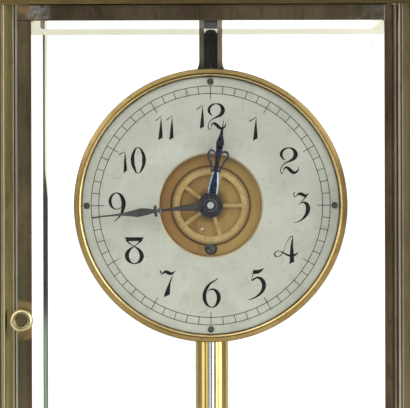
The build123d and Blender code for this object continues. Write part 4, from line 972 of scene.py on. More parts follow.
    # A lighter blue for the hour arm's filed edges: a painted highlight.
    blue_edge_highlight: Metal = Metal(
        "blue_edge_highlight", (0.2, 0.36, 0.5), (0.36, 0.56, 0.7), (0.12, 0.22, 0.34), 0.55, 0.8, 110.0, 0.2, 0.34
    )
    cheek_brass: Metal = Metal(
        "cheek_brass", (0.27, 0.24, 0.15), (0.46, 0.4, 0.25), (0.13, 0.12, 0.09), 0.5, 0.7, 60.0, 0.3, 0.45,
        Grain.UPRIGHT, drift=(1.0, 1.0, 0.2),
        bands=(
            Band(Along.WIDTH, -7.1, -5.6, (0.07, 0.08, 0.055), 0.75, 0.5),
            Band(Along.WIDTH, 4.3, 9.1, (0.8, 0.66, 0.38), 0.9, 0.4),
            Band(Along.HEIGHT, 296.0, 306.0, (0.06, 0.06, 0.04), 0.75, 5.0),
        ),
    )
    magnet: Metal = Metal(
        "magnet_steel", (0.06, 0.06, 0.065), (0.15, 0.15, 0.16), (0.12, 0.06, 0.03), 0.55, 0.72, 70.0, 0.3,
        0.5
    )
    ebonite: Enamelled = Enamelled("ebonite", (0.012, 0.012, 0.013), (0.03, 0.028, 0.027), 0.28, 0.5)
    ink: Enamelled = Enamelled(
        "dial_ink", (0.004, 0.004, 0.003), (0.013, 0.012, 0.01), 0.6, 0.85, 300.0, 4000.0, 0.004, gloss=0.15
    )
    felt: Enamelled = Enamelled(
        "black_felt", (0.02, 0.014, 0.01), (0.05, 0.035, 0.025), 0.8, 0.95, 300.0, 2500.0, 0.08, 0.4
    )
    zinc: Metal = Metal(
        "zinc_case", (0.3, 0.31, 0.32), (0.5, 0.51, 0.52), (0.2, 0.2, 0.19), 0.5, 0.7, 90.0, 0.4, 0.6
    )
    silk: Wound = Wound("coil_silk", (0.05, 0.09, 0.05), (0.11, 0.18, 0.09), "X", 300.0, 0.12)
    braid: Wound = Wound("lead_cloth", (0.12, 0.03, 0.02), (0.24, 0.07, 0.04), "DIAGONAL", 700.0, 0.08)
    glass: Clear = Clear()

    def hour_gilt(self, teeth: int, tooth: float) -> Metal:
        """The hour wheel's gilding, with painted shade between the teeth.

        Args:
            teeth: The number of teeth.
            tooth: The angle of one tooth's middle in radians.

        Returns:
            The finish.
        """
        tooth_shade = Band(
            Along.ROUND, 17.2, 18.6, (0.08, 0.04, 0.015), 0.9, 0.2,
            centre=self.centre, gaps=teeth, phase=tooth,
        )
        return replace(self.gilt, name="gilt_hour_wheel", bands=(tooth_shade,))

    @property
    def boss(self) -> Metal:
        """The dark turned face of the collet nut."""
        return Metal(
            "turned_slate", (0.05, 0.05, 0.06), (0.1, 0.1, 0.115), (0.03, 0.03, 0.035), 0.5, 0.75, 160.0,
            0.22, 0.4, Grain.TURNED, 2600.0, 0.03, self.centre,
        )

    @property
    def silvered(self) -> Metal:
        """The dial's silvering, brushed across, with faint yellow blotches and a pale ring at the opening's
        edge, a painted highlight.
        """
        return Metal(
            "silvered_dial", (0.52, 0.522, 0.442), (0.61, 0.608, 0.528), (0.46, 0.44, 0.34), 0.55, 0.78,
            60.0, 0.4, 0.55,
            Grain.ACROSS, 1300.0, 0.02, metallic=0.3,
            bands=(Band(Along.ROUND, 24.0, 25.3, (0.8, 0.74, 0.55), 0.8, 0.3, centre=self.centre),),
        )

    @property
    def bezel(self) -> Metal:
        """Turned, lacquered brass of the bezel."""
        return Metal(
            "bezel_brass", (0.43, 0.28, 0.095), (0.58, 0.4, 0.15), (0.3, 0.19, 0.07), 0.58, 0.76, 50.0,
            0.34, 0.46,
            Grain.TURNED, 1600.0, 0.01, self.centre,
        )

    @property
    def bezel_bead(self) -> Metal:
        """The polished bead of the bezel."""
        return Metal(
            "bead_brass", (0.74, 0.52, 0.2), (0.88, 0.67, 0.32), (0.52, 0.35, 0.14), 0.62, 0.8, 50.0, 0.18,
            0.28,
            Grain.TURNED, 1600.0, 0.006, self.centre,
        )

    @property
    def groove(self) -> Metal:
        """The dark groove between the bezel and the dial."""
        return Metal(
            "groove_brass", (0.09, 0.065, 0.03), (0.2, 0.15, 0.07), (0.05, 0.035, 0.02), 0.5, 0.7, 60.0,
            0.4, 0.6,
            Grain.TURNED, 1600.0, 0.01, self.centre,
        )

    @property
    def plate(self) -> Metal:
        """The front plate's fine brushed grain."""
        return Metal(
            "plate_brass", (0.42, 0.235, 0.085), (0.6, 0.38, 0.15), (0.26, 0.18, 0.09), 0.55, 0.8, 60.0,
            0.32, 0.46,
            Grain.UPRIGHT, 2600.0, 0.012, drift=(1.0, 1.0, 0.3),
            bands=(
                Band(Along.WIDTH, -26.0, -12.0, (0.6, 0.27, 0.09), 0.6, 8.0, 40.0, (1.0, 1.0, 0.3)),
                Band(Along.WIDTH, 6.0, 32.0, (0.8, 0.54, 0.2), 0.85, 9.0),
                # A dark ring behind the hour wheel's teeth: painted shade in the gaps.
                Band(Along.ROUND, 17.2, 18.9, (0.09, 0.045, 0.02), 0.75, 0.7, centre=self.centre),
                Band(Along.ROUND, 0.0, 6.5, (0.13, 0.09, 0.045), 0.6, 2.5, centre=self.centre),
            ),
        )


@dataclass
class CaseWork:
    """The case: plinth, posts, cornice, glass, doors and their catches."""

    palette: Palette
    finishes: Finishes
    door_stile: float = 6.5
    door_rail: float = 7.2
    bead_margin: float = 0.5
    bead_lap: float = 1.1
    bead_rise: float = 0.6
    bevel_side: float = 7.15
    bevel_top: float = 5.8
    glass_edge: float = 1.9
    strip_half: float = 84.0
    strip_drop: float = 0.9
    strip_gap: float = 0.4
    strip_thickness: float = 1.0
    strip_round: float = 0.1
    strip_share: float = 1.5
    bead_round: float = 0.15
    edge_width: float = 3.6
    taper_width: float = 1.3
    taper_foot: float = 244.0
    taper_top: float = 258.0

    def build(self) -> None:
        """Dress every piece of the case."""
        finishes = self.finishes
        dressing: dict[str, Finish] = {
            "plinth": finishes.cornice_brass,
            "cornice": finishes.cornice_brass,
            "floor_plate": finishes.brown_brass,
            "bottom_cover": finishes.rail_brass,
            "case_fasteners": finishes.screw_steel,
            "front_left_post": finishes.olive_brass,
            "front_right_post": finishes.olive_brass,
            "rear_left_post": finishes.olive_brass,
            "rear_right_post": finishes.olive_brass,
        }
        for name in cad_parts:
            if name.endswith("_glass"):
                dressing[name] = finishes.glass
            elif name.endswith("_door_frame"):
                dressing[name] = finishes.brown_brass
            elif "knob" in name or "latch" in name or "catch" in name:
                dressing[name] = finishes.knob_brass
            elif "hinge" in name:
                dressing[name] = finishes.screw_steel
        self.palette.dress_nodes(dressing)
        self.rear_beads()
        self.ground_glass()
        self.dust_strip()

    def ground_glass(self) -> None:
        """The front door's sheet, with a bevel that is narrower at the top and the foot."""
        low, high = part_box("front_door_glass")
        Bench.clear()
        bpy.ops.mesh.primitive_cube_add(size=1.0, location=(low + high) / 2, scale=high - low)
        pane = bpy.context.object
        pane.name = "front_glass_ground"
        bpy.ops.object.transform_apply(location=True, rotation=True, scale=True)
        bpy.ops.object.mode_set(mode="EDIT")
        bpy.ops.mesh.select_all(action="DESELECT")
        bpy.ops.object.mode_set(mode="OBJECT")
        for face in pane.data.polygons:
            face.select = face.normal.y < -0.5
        bpy.ops.object.mode_set(mode="EDIT")
        bpy.ops.mesh.inset(thickness=self.bevel_top * MM, depth=0.0)
        bpy.ops.object.mode_set(mode="OBJECT")
        for vertex in pane.data.vertices:
            if vertex.co.y > low.y + MM:
                continue
            if abs(vertex.co.x) > high.x - MM:
                vertex.co.y = high.y - self.glass_edge * MM
            else:
                vertex.co.x = (high.x - self.bevel_side * MM) * (1.0 if vertex.co.x > 0 else -1.0)
        self.palette.dress(pane, self.finishes.glass)
        fix(pane, "front_door", "front_door_glass")

    def dust_strip(self) -> None:
        """Strips of black felt under the cornice, behind each door's top edge."""
        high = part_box("front_door_frame")[1]
        bench = Bench(Vector())
        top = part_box("cornice")[0].z / MM
        outline = rectangle(-self.strip_half, self.strip_half, top - self.strip_drop, top)
        front = high.y / MM + self.strip_gap
        back = front + self.strip_thickness
        pieces = [
            bench.plate("felt", outline, front, back, self.strip_round),
            bench.plate("felt", outline, -back, -front, self.strip_round),
        ]
        strip = bench.join("dust_strips", pieces)
        self.palette.dress(strip, self.finishes.felt)
        fix(strip, "case")

    def rear_beads(self) -> None:
        """The flat beads that hold the rear door's glass, and the strip beside them on its outer stile."""
        low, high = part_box("rear_door_frame")
        inner = low.y / MM
        face = inner - self.bead_rise
        left, foot = low.x / MM + self.bead_margin, low.z / MM + self.bead_margin
        right, top = high.x / MM - self.bead_margin, high.z / MM - self.bead_margin
        across = self.door_stile + self.bead_lap - self.bead_margin
        up = self.door_rail - self.bead_margin
        outer = rectangle(left, right, foot, top)
        inside = rectangle(left + across, right - across, foot + up, top - up)
        bench = Bench(Vector())
        pieces = []
        for corner in range(4):
            after = (corner + 1) % 4
            outline = [outer[corner], outer[after], inside[after], inside[corner]]
            pieces.append(bench.plate("bead", outline, face, inner, self.bead_round))
        beads = bench.join("rear_glass_beads", pieces)
        # The beads' pale glowing finish is painted light where the lamps don't reach.
        self.palette.dress(beads, self.finishes.pale_glowing_bead)
        fix(beads, "rear_door")
        edge = left + across
        outline = [
            (edge - self.edge_width, foot + up), (edge, foot + up), (edge, self.taper_foot),
            (edge - self.taper_width, self.taper_top), (edge - self.taper_width, top - up),
            (edge - self.edge_width, top - up),
        ]
        raised = inner - self.strip_share * self.bead_rise
        strip = bench.plate("rear_stile_strip", outline, raised, face, self.strip_round)
        self.palette.dress(strip, self.finishes.strip_zinc)
        fix(strip, "rear_door")


BEZEL_PROFILE: Outline = [
    (60.95, -45.02), (60.95, -46.4), (61.2, -46.75), (61.5, -46.9), (61.62, -47.5), (61.85, -47.95),
    (62.25, -48.15),
    (62.65, -47.95), (62.9, -47.5), (63.0, -47.32), (63.6, -47.22), (64.2, -47.1), (64.7, -46.95),
    (64.95, -46.6),
    (65.05, -45.8), (65.05, -42.0), (62.7, -42.0), (62.7, -45.02),
]


@dataclass
class Dial:
    """The silvered ring with its numerals, minute track and screws, inside the turned bezel."""

    palette: Palette
    finishes: Finishes
    bench: Bench
    ink_rise: float = 0.025
    ink_root: float = 0.02
    line_width: float = 0.33
    track_outer: float = 56.8
    track_inner: float = 53.2
    hour_mark_inner: float = 50.6
    ink_share: float = 0.03
    tick_rise: float = 0.002
    bead_inner: float = 61.5
    bead_outer: float = 63.0

    def build(self) -> None:
        """Dress the ring and the bezel, and draw the numerals and the track."""
        finishes = self.finishes
        self.palette.dress_nodes(
            {
                "dial": finishes.silvered,
                "bezel": finishes.bezel,
                "dial_screws": finishes.dark_screw,
                "dial_carrier": finishes.rail_brass,
            }
        )
        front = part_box("dial")[0].y / MM
        self.track(front)
        self.numerals(front)
        self.turned_bezel()

    def turned_bezel(self) -> None:
        """The bezel: a dark groove beside the dial, a polished bead and a satin slope."""
        bezel = self.bench.turned("bezel_turned", BEZEL_PROFILE, 240)
        centre = self.bench.centre

        def radius(place: Vector) -> float:
            """The distance from the dial's centre in millimetres."""
            return Vector((place.x - centre.x, place.z - centre.z)).length / MM

        self.palette.dress(bezel, self.finishes.bezel)
        self.palette.dress_faces(bezel, self.finishes.groove, lambda place: radius(place) < self.bead_inner)
        self.palette.dress_faces(
            bezel, self.finishes.bezel_bead, lambda place: self.bead_inner < radius(place) < self.bead_outer
        )
        fix(bezel, "case", "bezel")

    def finish_ink(self, piece: bpy.types.Object) -> None:
        """Ink a piece and fix it to the dial."""
        self.palette.dress(piece, self.finishes.ink)
        fix(piece, "case")

    def track(self, front: float) -> None:
        """The minute track: two circles, sixty ticks and twelve longer hour marks.

        Args:
            front: The dial's face in millimetres along Y.
        """
        high = front - self.ink_rise
        low = front + self.ink_root
        half = self.line_width / 2
        pieces = [
            self.bench.ring("outer_circle", self.track_outer + half, self.track_outer - half, high, low),
            self.bench.ring("inner_circle", self.track_inner + half, self.track_inner - half, high, low),
        ]
        for minute in range(60):
            start = self.hour_mark_inner if minute % 5 == 0 else self.track_inner
            tick = [(-half, start), (-half, self.track_outer), (half, self.track_outer), (half, start)]
            piece = self.bench.plate("tick", tick, high - self.tick_rise, low)
            self.bench.turn(piece, 6.0 * minute)
            pieces.append(piece)
        self.finish_ink(self.bench.join("minute_track", pieces))

    def numerals(self, front: float) -> None:
        """The twelve numerals, in pen strokes and filled stems.

        Args:
            front: The dial's face in millimetres along Y.
        """
        high, low = front - self.ink_rise, front + self.ink_root
        pieces = []
        for number, numeral in NUMERALS.items():
            x, z = numeral.place
            lines = [[(x + a, z + b, half) for a, b, half in line] for line in numeral.strokes]
            if lines:
                pieces.append(self.bench.strokes(f"pen_{number}", lines, front, self.ink_share))
            loops = [[(x + a, z + b, half) for a, b, half in line] for line in numeral.loops]
            if loops:
                pieces.append(self.bench.strokes(f"loop_{number}", loops, front, self.ink_share, True))
            for stem in numeral.stems:
                outline = [(x + a, z + b) for a, b in stem]
                pieces.append(self.bench.plate(f"stem_{number}", outline, high, low))
        self.finish_ink(self.bench.join("numerals", pieces))


@dataclass(frozen=True)
class Numeral:
    """One numeral: its middle on the dial, its open and closed strokes and its filled stems."""

    place: tuple[float, float]
    strokes: list[Stroke] = field(default_factory=list)
    loops: list[Stroke] = field(default_factory=list)
    stems: list[Outline] = field(default_factory=list)


ONE_FLAG: Stroke = [(-1.9, 3.3, 0.28), (0.2, 4.6, 0.2), (1.3, 5.4, 0.12)]
ONE_STEM: Outline = [
    (1.4, 6.0), (1.52, 3.6), (1.65, 1.5), (1.85, -1.0), (2.0, -3.0), (2.0, -4.85), (1.1, -5.25),
    (-0.15, -5.9),
    (-0.05, -4.8), (0.1, -3.5), (0.33, -1.6), (0.6, 0.5), (0.88, 2.3), (1.15, 4.0),
]
TWO_LINES: list[Stroke] = [
    [
        (-1.98, 0.34, 0.15), (-2.99, 1.05, 0.41), (-3.8, 3.08, 0.71), (-2.79, 5.11, 0.51),
        (-0.25, 6.03, 0.25),
        (1.88, 5.32, 0.61), (3.04, 3.08, 1.07), (2.18, 1.05, 0.86), (-0.15, -0.33, 0.41),
        (-2.38, -1.48, 0.22),
        (-3.8, -3.21, 0.18), (-4.21, -4.83, 0.22), (-3.7, -5.85, 0.2), (-3.03, -6.05, 0.35),
    ],
    [
        (-2.83, -5.24, 0.12), (-2.48, -4.02, 0.25), (-1.47, -3.21, 0.5), (-0.15, -3.92, 0.78),
        (1.07, -5.14, 0.8),
        (2.39, -5.75, 0.62), (3.71, -5.04, 0.42), (4.42, -3.82, 0.2), (4.15, -2.7, 0.08),
    ],
]


def narrowed(stem: Outline, share: float, shift: float) -> Outline:
    """A stem made slimmer and moved sideways."""
    return [(shift + x * share, z) for x, z in stem]


def moved(line: Stroke, share: float, shift: float, rise: float = 0.0) -> Stroke:
    """A stroke made slimmer and moved."""
    return [(shift + x * share, z + rise, half * share) for x, z, half in line]


NUMERALS: dict[int, Numeral] = {
    1: Numeral((20.33, 36.58), [ONE_FLAG], [], [ONE_STEM]),
    2: Numeral((37.38, 21.19), TWO_LINES),
    3: Numeral(
        (43.27, -0.86),
        [
            [(-3.2, 7.28, 0.08), (-3.75, 6.4, 0.3), (-3.57, 5.39, 0.2), (-3.27, 4.51, 0.1)],
            [
                (-3.27, 4.56, 0.1), (-2.07, 5.77, 0.3), (-0.81, 6.32, 0.72), (0.57, 5.82, 0.82),
                (1.71, 5.39, 0.7),
                (2.59, 5.9, 0.35), (3.42, 6.58, 0.06),
            ],
            [(2.08, 5.14, 0.4), (1.2, 3.96, 0.22), (-0.05, 2.55, 0.16), (-1.51, 1.19, 0.1)],
            [
                (-0.43, 1.87, 0.1), (0.95, 2.2, 0.38), (2.21, 1.5, 0.8), (2.96, -0.26, 1.05),
                (2.66, -2.53, 0.95),
                (1.46, -4.54, 0.62), (-0.05, -6.0, 0.36), (-1.81, -6.98, 0.2), (-3.83, -7.43, 0.1),
            ],
        ],
    ),
    4: Numeral(
        (35.67, -21.09),
        [
            [
                (3.47, 6.43, 0.2), (2.52, 6.26, 0.2), (1.26, 4.88, 0.15), (0.13, 2.86, 0.1),
                (-0.63, 0.6, 0.1),
                (-1.26, -1.16, 0.15), (-2.26, -2.47, 0.22), (-3.77, -3.32, 0.15), (-5.08, -2.92, 0.33),
                (-5.28, -1.91, 0.3), (-4.4, -0.86, 0.2), (-3.02, -0.66, 0.15), (-1.71, -1.29, 0.28),
                (-0.25, -2.04, 0.38), (1.51, -2.8, 0.5), (3.27, -2.92, 0.55), (4.53, -2.37, 0.45),
                (5.28, -1.79, 0.28), (5.79, -1.21, 0.08),
            ]
        ],
        [],
        [
            [
                (3.52, 6.64), (3.42, 4.12), (3.47, 1.61), (3.72, -1.41), (3.95, -5.81), (1.46, -6.87),
                (1.81, -5.44), (1.89, -1.91), (2.14, 1.1), (2.64, 4.12), (3.22, 6.13),
            ]
        ],
    ),
    5: Numeral(
        (21.9, -37.34),
        [
            [(-1.95, 4.7, 0.2), (-2.3, 3.2, 0.15), (-2.55, 1.95, 0.15)],
            [
                (-2.5, 1.53, 0.35), (-1.58, 2.21, 0.4), (0.11, 2.99, 0.42), (1.81, 2.45, 0.8),
                (3.02, 0.76, 1.0),
                (3.31, -1.06, 0.98), (2.65, -3.12, 0.8), (1.32, -4.81, 0.55), (-0.62, -6.27, 0.36),
                (-2.31, -7.04, 0.25), (-4.2, -7.48, 0.18),
            ],
        ],
        [],
        [
            [
                (-1.83, 6.62), (0.6, 6.69), (2.17, 7.1), (3.43, 7.59), (2.66, 6.38), (1.56, 5.36),
                (0.23, 4.76),
                (-2.12, 4.63),
            ]
        ],
    ),
    6: Numeral(
        (0.33, -41.7),
        [
            [
                (3.07, 6.95, 0.2), (1.32, 5.85, 0.3), (-0.62, 4.64, 0.45), (-2.19, 2.7, 0.72),
                (-3.23, 0.28, 0.85),
                (-3.43, -2.14, 0.9), (-2.75, -4.56, 0.75), (-1.39, -6.14, 0.4), (0.23, -6.7, 0.22),
                (1.81, -5.9, 0.5), (2.97, -4.08, 0.85), (3.38, -1.9, 1.0), (2.78, 0.16, 0.9),
                (1.44, 1.54, 0.55),
                (-0.25, 1.86, 0.32), (-1.95, 0.89, 0.12),
            ]
        ],
    ),
    7: Numeral(
        (-20.71, -37.05),
        [
            [(-3.36, 6.35, 0.1), (-3.18, 5.6, 0.38), (-2.9, 4.76, 0.2), (-2.68, 4.0, 0.06)],
            [
                (-2.68, 4.15, 0.1), (-1.95, 4.98, 0.42), (-0.7, 5.55, 0.72), (0.55, 5.1, 0.88),
                (1.69, 4.69, 0.68),
                (2.82, 5.14, 0.4), (4.01, 6.17, 0.06),
            ],
        ],
        [],
        [
            [
                (2.94, 4.53), (2.26, 2.6), (1.57, 0.33), (1.35, -2.4), (1.17, -5.24), (-1.77, -6.58),
                (-1.27, -4.67), (-0.24, -1.95), (0.89, 0.55), (1.87, 2.83),
            ]
        ],
    ),
    8: Numeral(
        (-36.39, -21.38),
        [
            [
                (-3.77, 5.1, 0.5), (-2.75, 3.92, 0.33), (-1.5, 2.94, 0.22), (-0.13, 2.08, 0.18),
                (1.68, 0.9, 0.5),
                (3.05, -0.81, 0.9), (3.55, -2.63, 1.05), (2.93, -4.56, 0.85), (1.57, -5.81, 0.4),
                (-0.02, -6.15, 0.22), (-1.73, -5.58, 0.45), (-2.98, -4.22, 0.85), (-3.5, -2.4, 1.0),
                (-2.98, -0.58, 0.85), (-1.73, 0.9, 0.5), (-0.13, 2.03, 0.18), (1.23, 2.94, 0.22),
                (2.48, 4.08, 0.4), (3.62, 5.1, 0.55),
            ]
        ],
        [],
        [[(-4.57, 6.35), (4.64, 6.35), (4.3, 5.67), (3.39, 4.51), (-3.32, 4.51), (-4.23, 5.67)]],
    ),
    9: Numeral(
        (-44.32, 0.19),
        [
            [
                (1.7, -0.96, 0.1), (0.61, -1.62, 0.2), (-0.97, -1.81, 0.22), (-2.54, -0.79, 0.5),
                (-3.39, 1.1, 0.75), (-3.32, 3.16, 0.7), (-2.25, 4.97, 0.45), (-0.49, 5.87, 0.22),
                (1.33, 4.97, 0.6), (2.5, 3.04, 0.95), (2.93, 0.85, 1.05), (2.66, -1.33, 0.95),
                (2.18, -3.27, 0.65), (1.45, -4.72, 0.38), (0.12, -6.29, 0.25), (-1.7, -7.75, 0.15),
            ]
        ],
    ),
    10: Numeral(
        (-37.0, 21.33),
        [[(-6.59, 2.85, 0.27), (-5.26, 3.58, 0.18), (-3.68, 4.3, 0.1)]],
        [
            [
                (2.5, 6.25, 0.18), (0.51, 3.94, 0.6), (-0.05, 0.31, 0.95), (0.68, -3.33, 0.7),
                (2.5, -5.89, 0.15),
                (4.56, -3.45, 0.6), (5.36, 0.31, 0.95), (4.63, 3.94, 0.65),
            ]
        ],
        [
            [
                (-3.63, 4.67), (-3.32, 2.25), (-3.08, -0.42), (-2.76, -2.84), (-2.76, -4.54), (-4.53, -6.09),
                (-4.29, -4.05), (-4.21, -0.9), (-3.97, 1.76),
            ]
        ],
    ),
    11: Numeral(
        (-22.09, 37.0),
        [moved(ONE_FLAG, 0.8, -2.5), moved(ONE_FLAG, 0.8, 2.65, 0.3)],
        [],
        [narrowed(ONE_STEM, 0.95, -2.6), narrowed(ONE_STEM, 0.95, 2.6)],
    ),
    12: Numeral(
        (0.05, 42.28),
        [moved(ONE_FLAG, 0.85, -5.0), *[moved(line, 0.97, 2.9) for line in TWO_LINES]],
        [],
        [narrowed(ONE_STEM, 0.95, -5.0)],
    ),
}


@dataclass
class Hands:
    """The blued hands with their filed edges, and the collet nut in front of them."""

    palette: Palette
    finishes: Finishes
    bench: Bench
    hour_angle: float = 8.8
    minute_angle: float = 264.3
    chamfer: float = 0.4
    edge_width: float = 0.6
    ring_rise: float = 0.06
    ring_sides: int = 72
    collet_sides: int = 64
    hour_collet: tuple[float, float] = (5.0, 2.62)
    minute_collet: tuple[float, float] = (4.6, 1.62)
    sleeve: tuple[float, float] = (2.3, 1.62)
    sleeve_lap: float = 0.05
    minute_thickness: float = 0.8
    rings: tuple[tuple[float, float], ...] = ((5.75, 5.45), (4.55, 4.3), (3.3, 2.5))

    def build(self) -> None:
        """Make both hands and dress the nut."""
        self.palette.dress_nodes({"hand_boss": self.finishes.boss, "center_arbor": self.finishes.tip_steel})
        self.hour_hand()
        self.minute_hand()
        self.boss_highlight_rings()

    def arm_highlight_edge(self, place: Vector) -> bool:
        """Whether a face is one of the hour arm's filed edges that take the lighter blue, a painted
        highlight.
        """
        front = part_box("hour_hand")[0].y
        x = abs(place.x - self.bench.centre.x) / MM
        z = (place.z - self.bench.centre.z) / MM
        return x > 0.7 and 4.5 < z < 14.5 and front + 0.05 * MM < place.y < front + self.chamfer * MM

    def boss_highlight_rings(self) -> None:
        """Thin light rings on the collet nut, painted highlights on its turned edges."""
        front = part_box("hand_boss")[0].y / MM
        pieces = []
        for outer, inner in self.rings:
            face, foot = front - self.ring_rise, front + self.ring_rise
            pieces.append(self.bench.ring("ring", outer, inner, face, foot, self.ring_sides))
        rings = self.bench.join("boss_highlight_rings", pieces)
        self.palette.dress(rings, self.finishes.slate)
        fix(rings, "center_work")

    def collet(self, name: str, radii: tuple[float, float], front: float, back: float) -> bpy.types.Object:
        """A round foot of a hand, with its outer radius and its bore's."""
        return self.bench.ring(name, *radii, front, back, self.collet_sides)

    def fit(self, piece: bpy.types.Object, finish: Metal, node: str, body: str, angle: float) -> None:
        """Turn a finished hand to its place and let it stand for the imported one.

        Args:
            piece: The hand, drawn upright.
            finish: Its finish.
            node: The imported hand's name.
            body: What it moves with.
            angle: The angle clockwise from the top.
        """
        self.palette.dress(piece, finish)
        if node == "hour_hand":
            self.palette.dress_faces(piece, self.finishes.blue_edge_highlight, self.arm_highlight_edge)
        self.bench.turn(piece, angle)
        fix(piece, body, node)

    def hour_hand(self) -> None:
        """The hour hand: a stout arm, two open scrolls round a spine, and a leaf point."""
        low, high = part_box("hour_hand")
        front, back = low.y / MM, high.y / MM
        middle = (front + back) / 2
        arm = [
            (-2.35, 3.6), (-2.25, 9.5), (-1.3, 16.0), (-1.05, 17.0), (1.05, 17.0), (1.3, 16.0), (2.25, 9.5),
            (2.35, 3.6),
        ]
        spine = [
            (-1.05, 16.4), (-1.0, 20.0), (-1.3, 24.0), (-1.7, 28.6), (1.7, 28.6), (1.3, 24.0), (1.0, 20.0),
            (1.05, 16.4),
        ]
        leaf = [
            (0.0, 26.4), (-1.1, 27.6), (-1.9, 29.2), (-1.8, 30.6), (-0.95, 33.4), (-0.3, 37.6), (-0.12, 40.9),
            (0.12, 40.9), (0.3, 37.6), (0.95, 33.4), (1.8, 30.6), (1.9, 29.2), (1.1, 27.6),
        ]
        scrolls = [
            [
                (0.95, 23.6, 0.38), (1.5, 25.3, 0.46), (2.95, 26.1, 0.54), (4.25, 25.6, 0.54),
                (4.65, 24.3, 0.52), (4.25, 22.9, 0.5), (3.5, 21.8, 0.48), (2.65, 19.4, 0.44),
                (2.0, 17.3, 0.44), (1.3, 16.4, 0.48),
            ],
            [
                (-1.4, 24.3, 0.38), (-2.1, 25.4, 0.46), (-3.5, 25.9, 0.54), (-4.55, 24.9, 0.54),
                (-4.65, 23.4, 0.52), (-4.1, 22.2, 0.5), (-3.25, 20.5, 0.65), (-2.6, 18.8, 0.46),
                (-1.95, 17.1, 0.46), (-1.3, 16.3, 0.48),
            ],
            [(-2.5, 15.9, 0.3), (-1.2, 16.6, 0.45), (0.0, 16.1, 0.5), (1.2, 16.6, 0.45), (2.5, 15.9, 0.3)],
        ]
        pieces = [
            self.collet("collet", self.hour_collet, front, back),
            self.bench.plate("arm", arm, front, back, self.edge_width, self.chamfer),
            self.bench.plate("spine", spine, front, back, 0.2),
            self.bench.plate("leaf", leaf, front, back, 0.1),
            self.bench.strokes("scrolls", scrolls, middle, 1.1),
        ]
        hand = self.bench.join("hour_hand_filed", pieces)
        self.fit(hand, self.finishes.blued, "hour_hand", "hour_work", self.hour_angle)

    def minute_hand(self) -> None:
        """The minute hand: a long arm, a collar, a cross bar and a slim lozenge."""
        low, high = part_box("minute_hand")
        front = low.y / MM
        back = front + self.minute_thickness
        arm = [
            (-2.13, 3.6), (-0.71, 19.0), (-0.62, 22.8), (-0.62, 28.0), (0.62, 28.0), (0.62, 22.8),
            (0.71, 19.0), (2.13, 3.6),
        ]
        bar = [
            (-2.6, 25.5), (-2.75, 26.1), (-2.6, 26.75), (-0.95, 27.1), (0.95, 27.1), (2.6, 26.75),
            (2.75, 26.1), (2.6, 25.5),
        ]
        lozenge = [
            (-0.6, 26.6), (-0.95, 27.5), (-1.5, 30.0), (-2.05, 34.9), (-1.5, 37.2), (-0.55, 42.7),
            (-0.2, 56.4),
            (0.2, 56.4), (0.55, 42.7), (1.35, 37.0), (2.05, 33.1), (1.6, 30.0), (0.95, 27.5), (0.6, 26.6),
        ]
        collar = [[(-1.25, 24.2, 0.75), (0.0, 24.2, 0.95), (1.25, 24.2, 0.75)]]
        sleeve_back = high.y / MM
        pieces = [
            self.collet("collet", self.minute_collet, front, back),
            self.collet("sleeve", self.sleeve, back - self.sleeve_lap, sleeve_back),
            self.bench.plate("arm", arm, front, back, self.chamfer),
            self.bench.plate("bar", bar, front - 0.1, back, 0.2),
            self.bench.plate("lozenge", lozenge, front, back, 0.15),
            self.bench.strokes("collar", collar, (front + back) / 2, 0.7),
        ]
        hand = self.bench.join("minute_hand_filed", pieces)
        self.fit(hand, self.finishes.slate, "minute_hand", "center_work", self.minute_angle)


@dataclass
class Movement:
    """The plates, the wheel work, and the column and saddle that carry them."""

    palette: Palette
    finishes: Finishes
    bench: Bench
    hour_teeth: int = 120
    tip_depth: float = 0.02
    cup_outer: float = 3.05
    cup_inner: float = 2.0

    def build(self) -> None:
        """Dress every piece of the movement."""
        finishes = self.finishes
        self.palette.dress_nodes(
            {
                "front_plate": finishes.plate,
                "back_plate": finishes.plate,
                "plate_pillars": finishes.pale_brass,
                "movement_screws": finishes.screw_steel,
                "movement_saddle": finishes.cornice_brass,
                "column": finishes.column_brass,
                "hour_wheel": finishes.hour_gilt(self.hour_teeth, self.tooth_angle("hour_wheel")),
                "cannon_wheel": finishes.gilt,
                "minute_wheel": finishes.gilt,
                "center_wheel": finishes.gilt,
                "third_wheel": finishes.gilt,
                "minute_pinion": finishes.leaf_steel,
                "third_pinion": finishes.bright_steel,
                "ratchet_pinion": finishes.bright_steel,
                "ratchet_wheel": finishes.pale_brass,
                "click_spring": finishes.screw_steel,
                "drive_pawl": finishes.screw_steel,
            }
        )
        self.plate_pin()
        self.pinion_cup()

    def tooth_angle(self, node: str) -> float:
        """The angle of the middle of one tooth of a wheel, about the dial's centre.

        Args:
            node: The wheel.

        Returns:
            The angle in radians, from the X axis towards Z.
        """
        centre = self.bench.centre
        places = [vertex.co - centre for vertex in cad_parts[node].data.vertices]
        reach = max(Vector((place.x, place.z)).length for place in places)
        least = reach - self.tip_depth * MM
        tips = [atan2(place.z, place.x) for place in places if Vector((place.x, place.z)).length > least]
        across = sum(cos(self.hour_teeth * tip) for tip in tips)
        along = sum(sin(self.hour_teeth * tip) for tip in tips)
        return atan2(along, across) / self.hour_teeth

    def plate_pin(self) -> None:
        """The bright end of a taper pin in the front plate."""
        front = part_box("front_plate")[0].y / MM
        line = [(-4.9, -11.7, 0.38), (-4.2, -11.25, 0.48), (-3.6, -10.75, 0.38)]
        pin = self.bench.strokes("plate_pin", [line], front, 0.8)
        self.palette.dress(pin, self.finishes.tip_steel)
        fix(pin, "case")

    def pinion_cup(self) -> None:
        """The dark oil sink round the minute pinion."""
        low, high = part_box("minute_pinion")
        middle = (low + high) / 2
        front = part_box("front_plate")[0].y / MM
        cup = Bench(middle).ring("pinion_cup", self.cup_outer, self.cup_inner, front - 0.3, front + 0.05, 64)
        self.palette.dress(cup, self.finishes.dark_screw)
        fix(cup, "case")


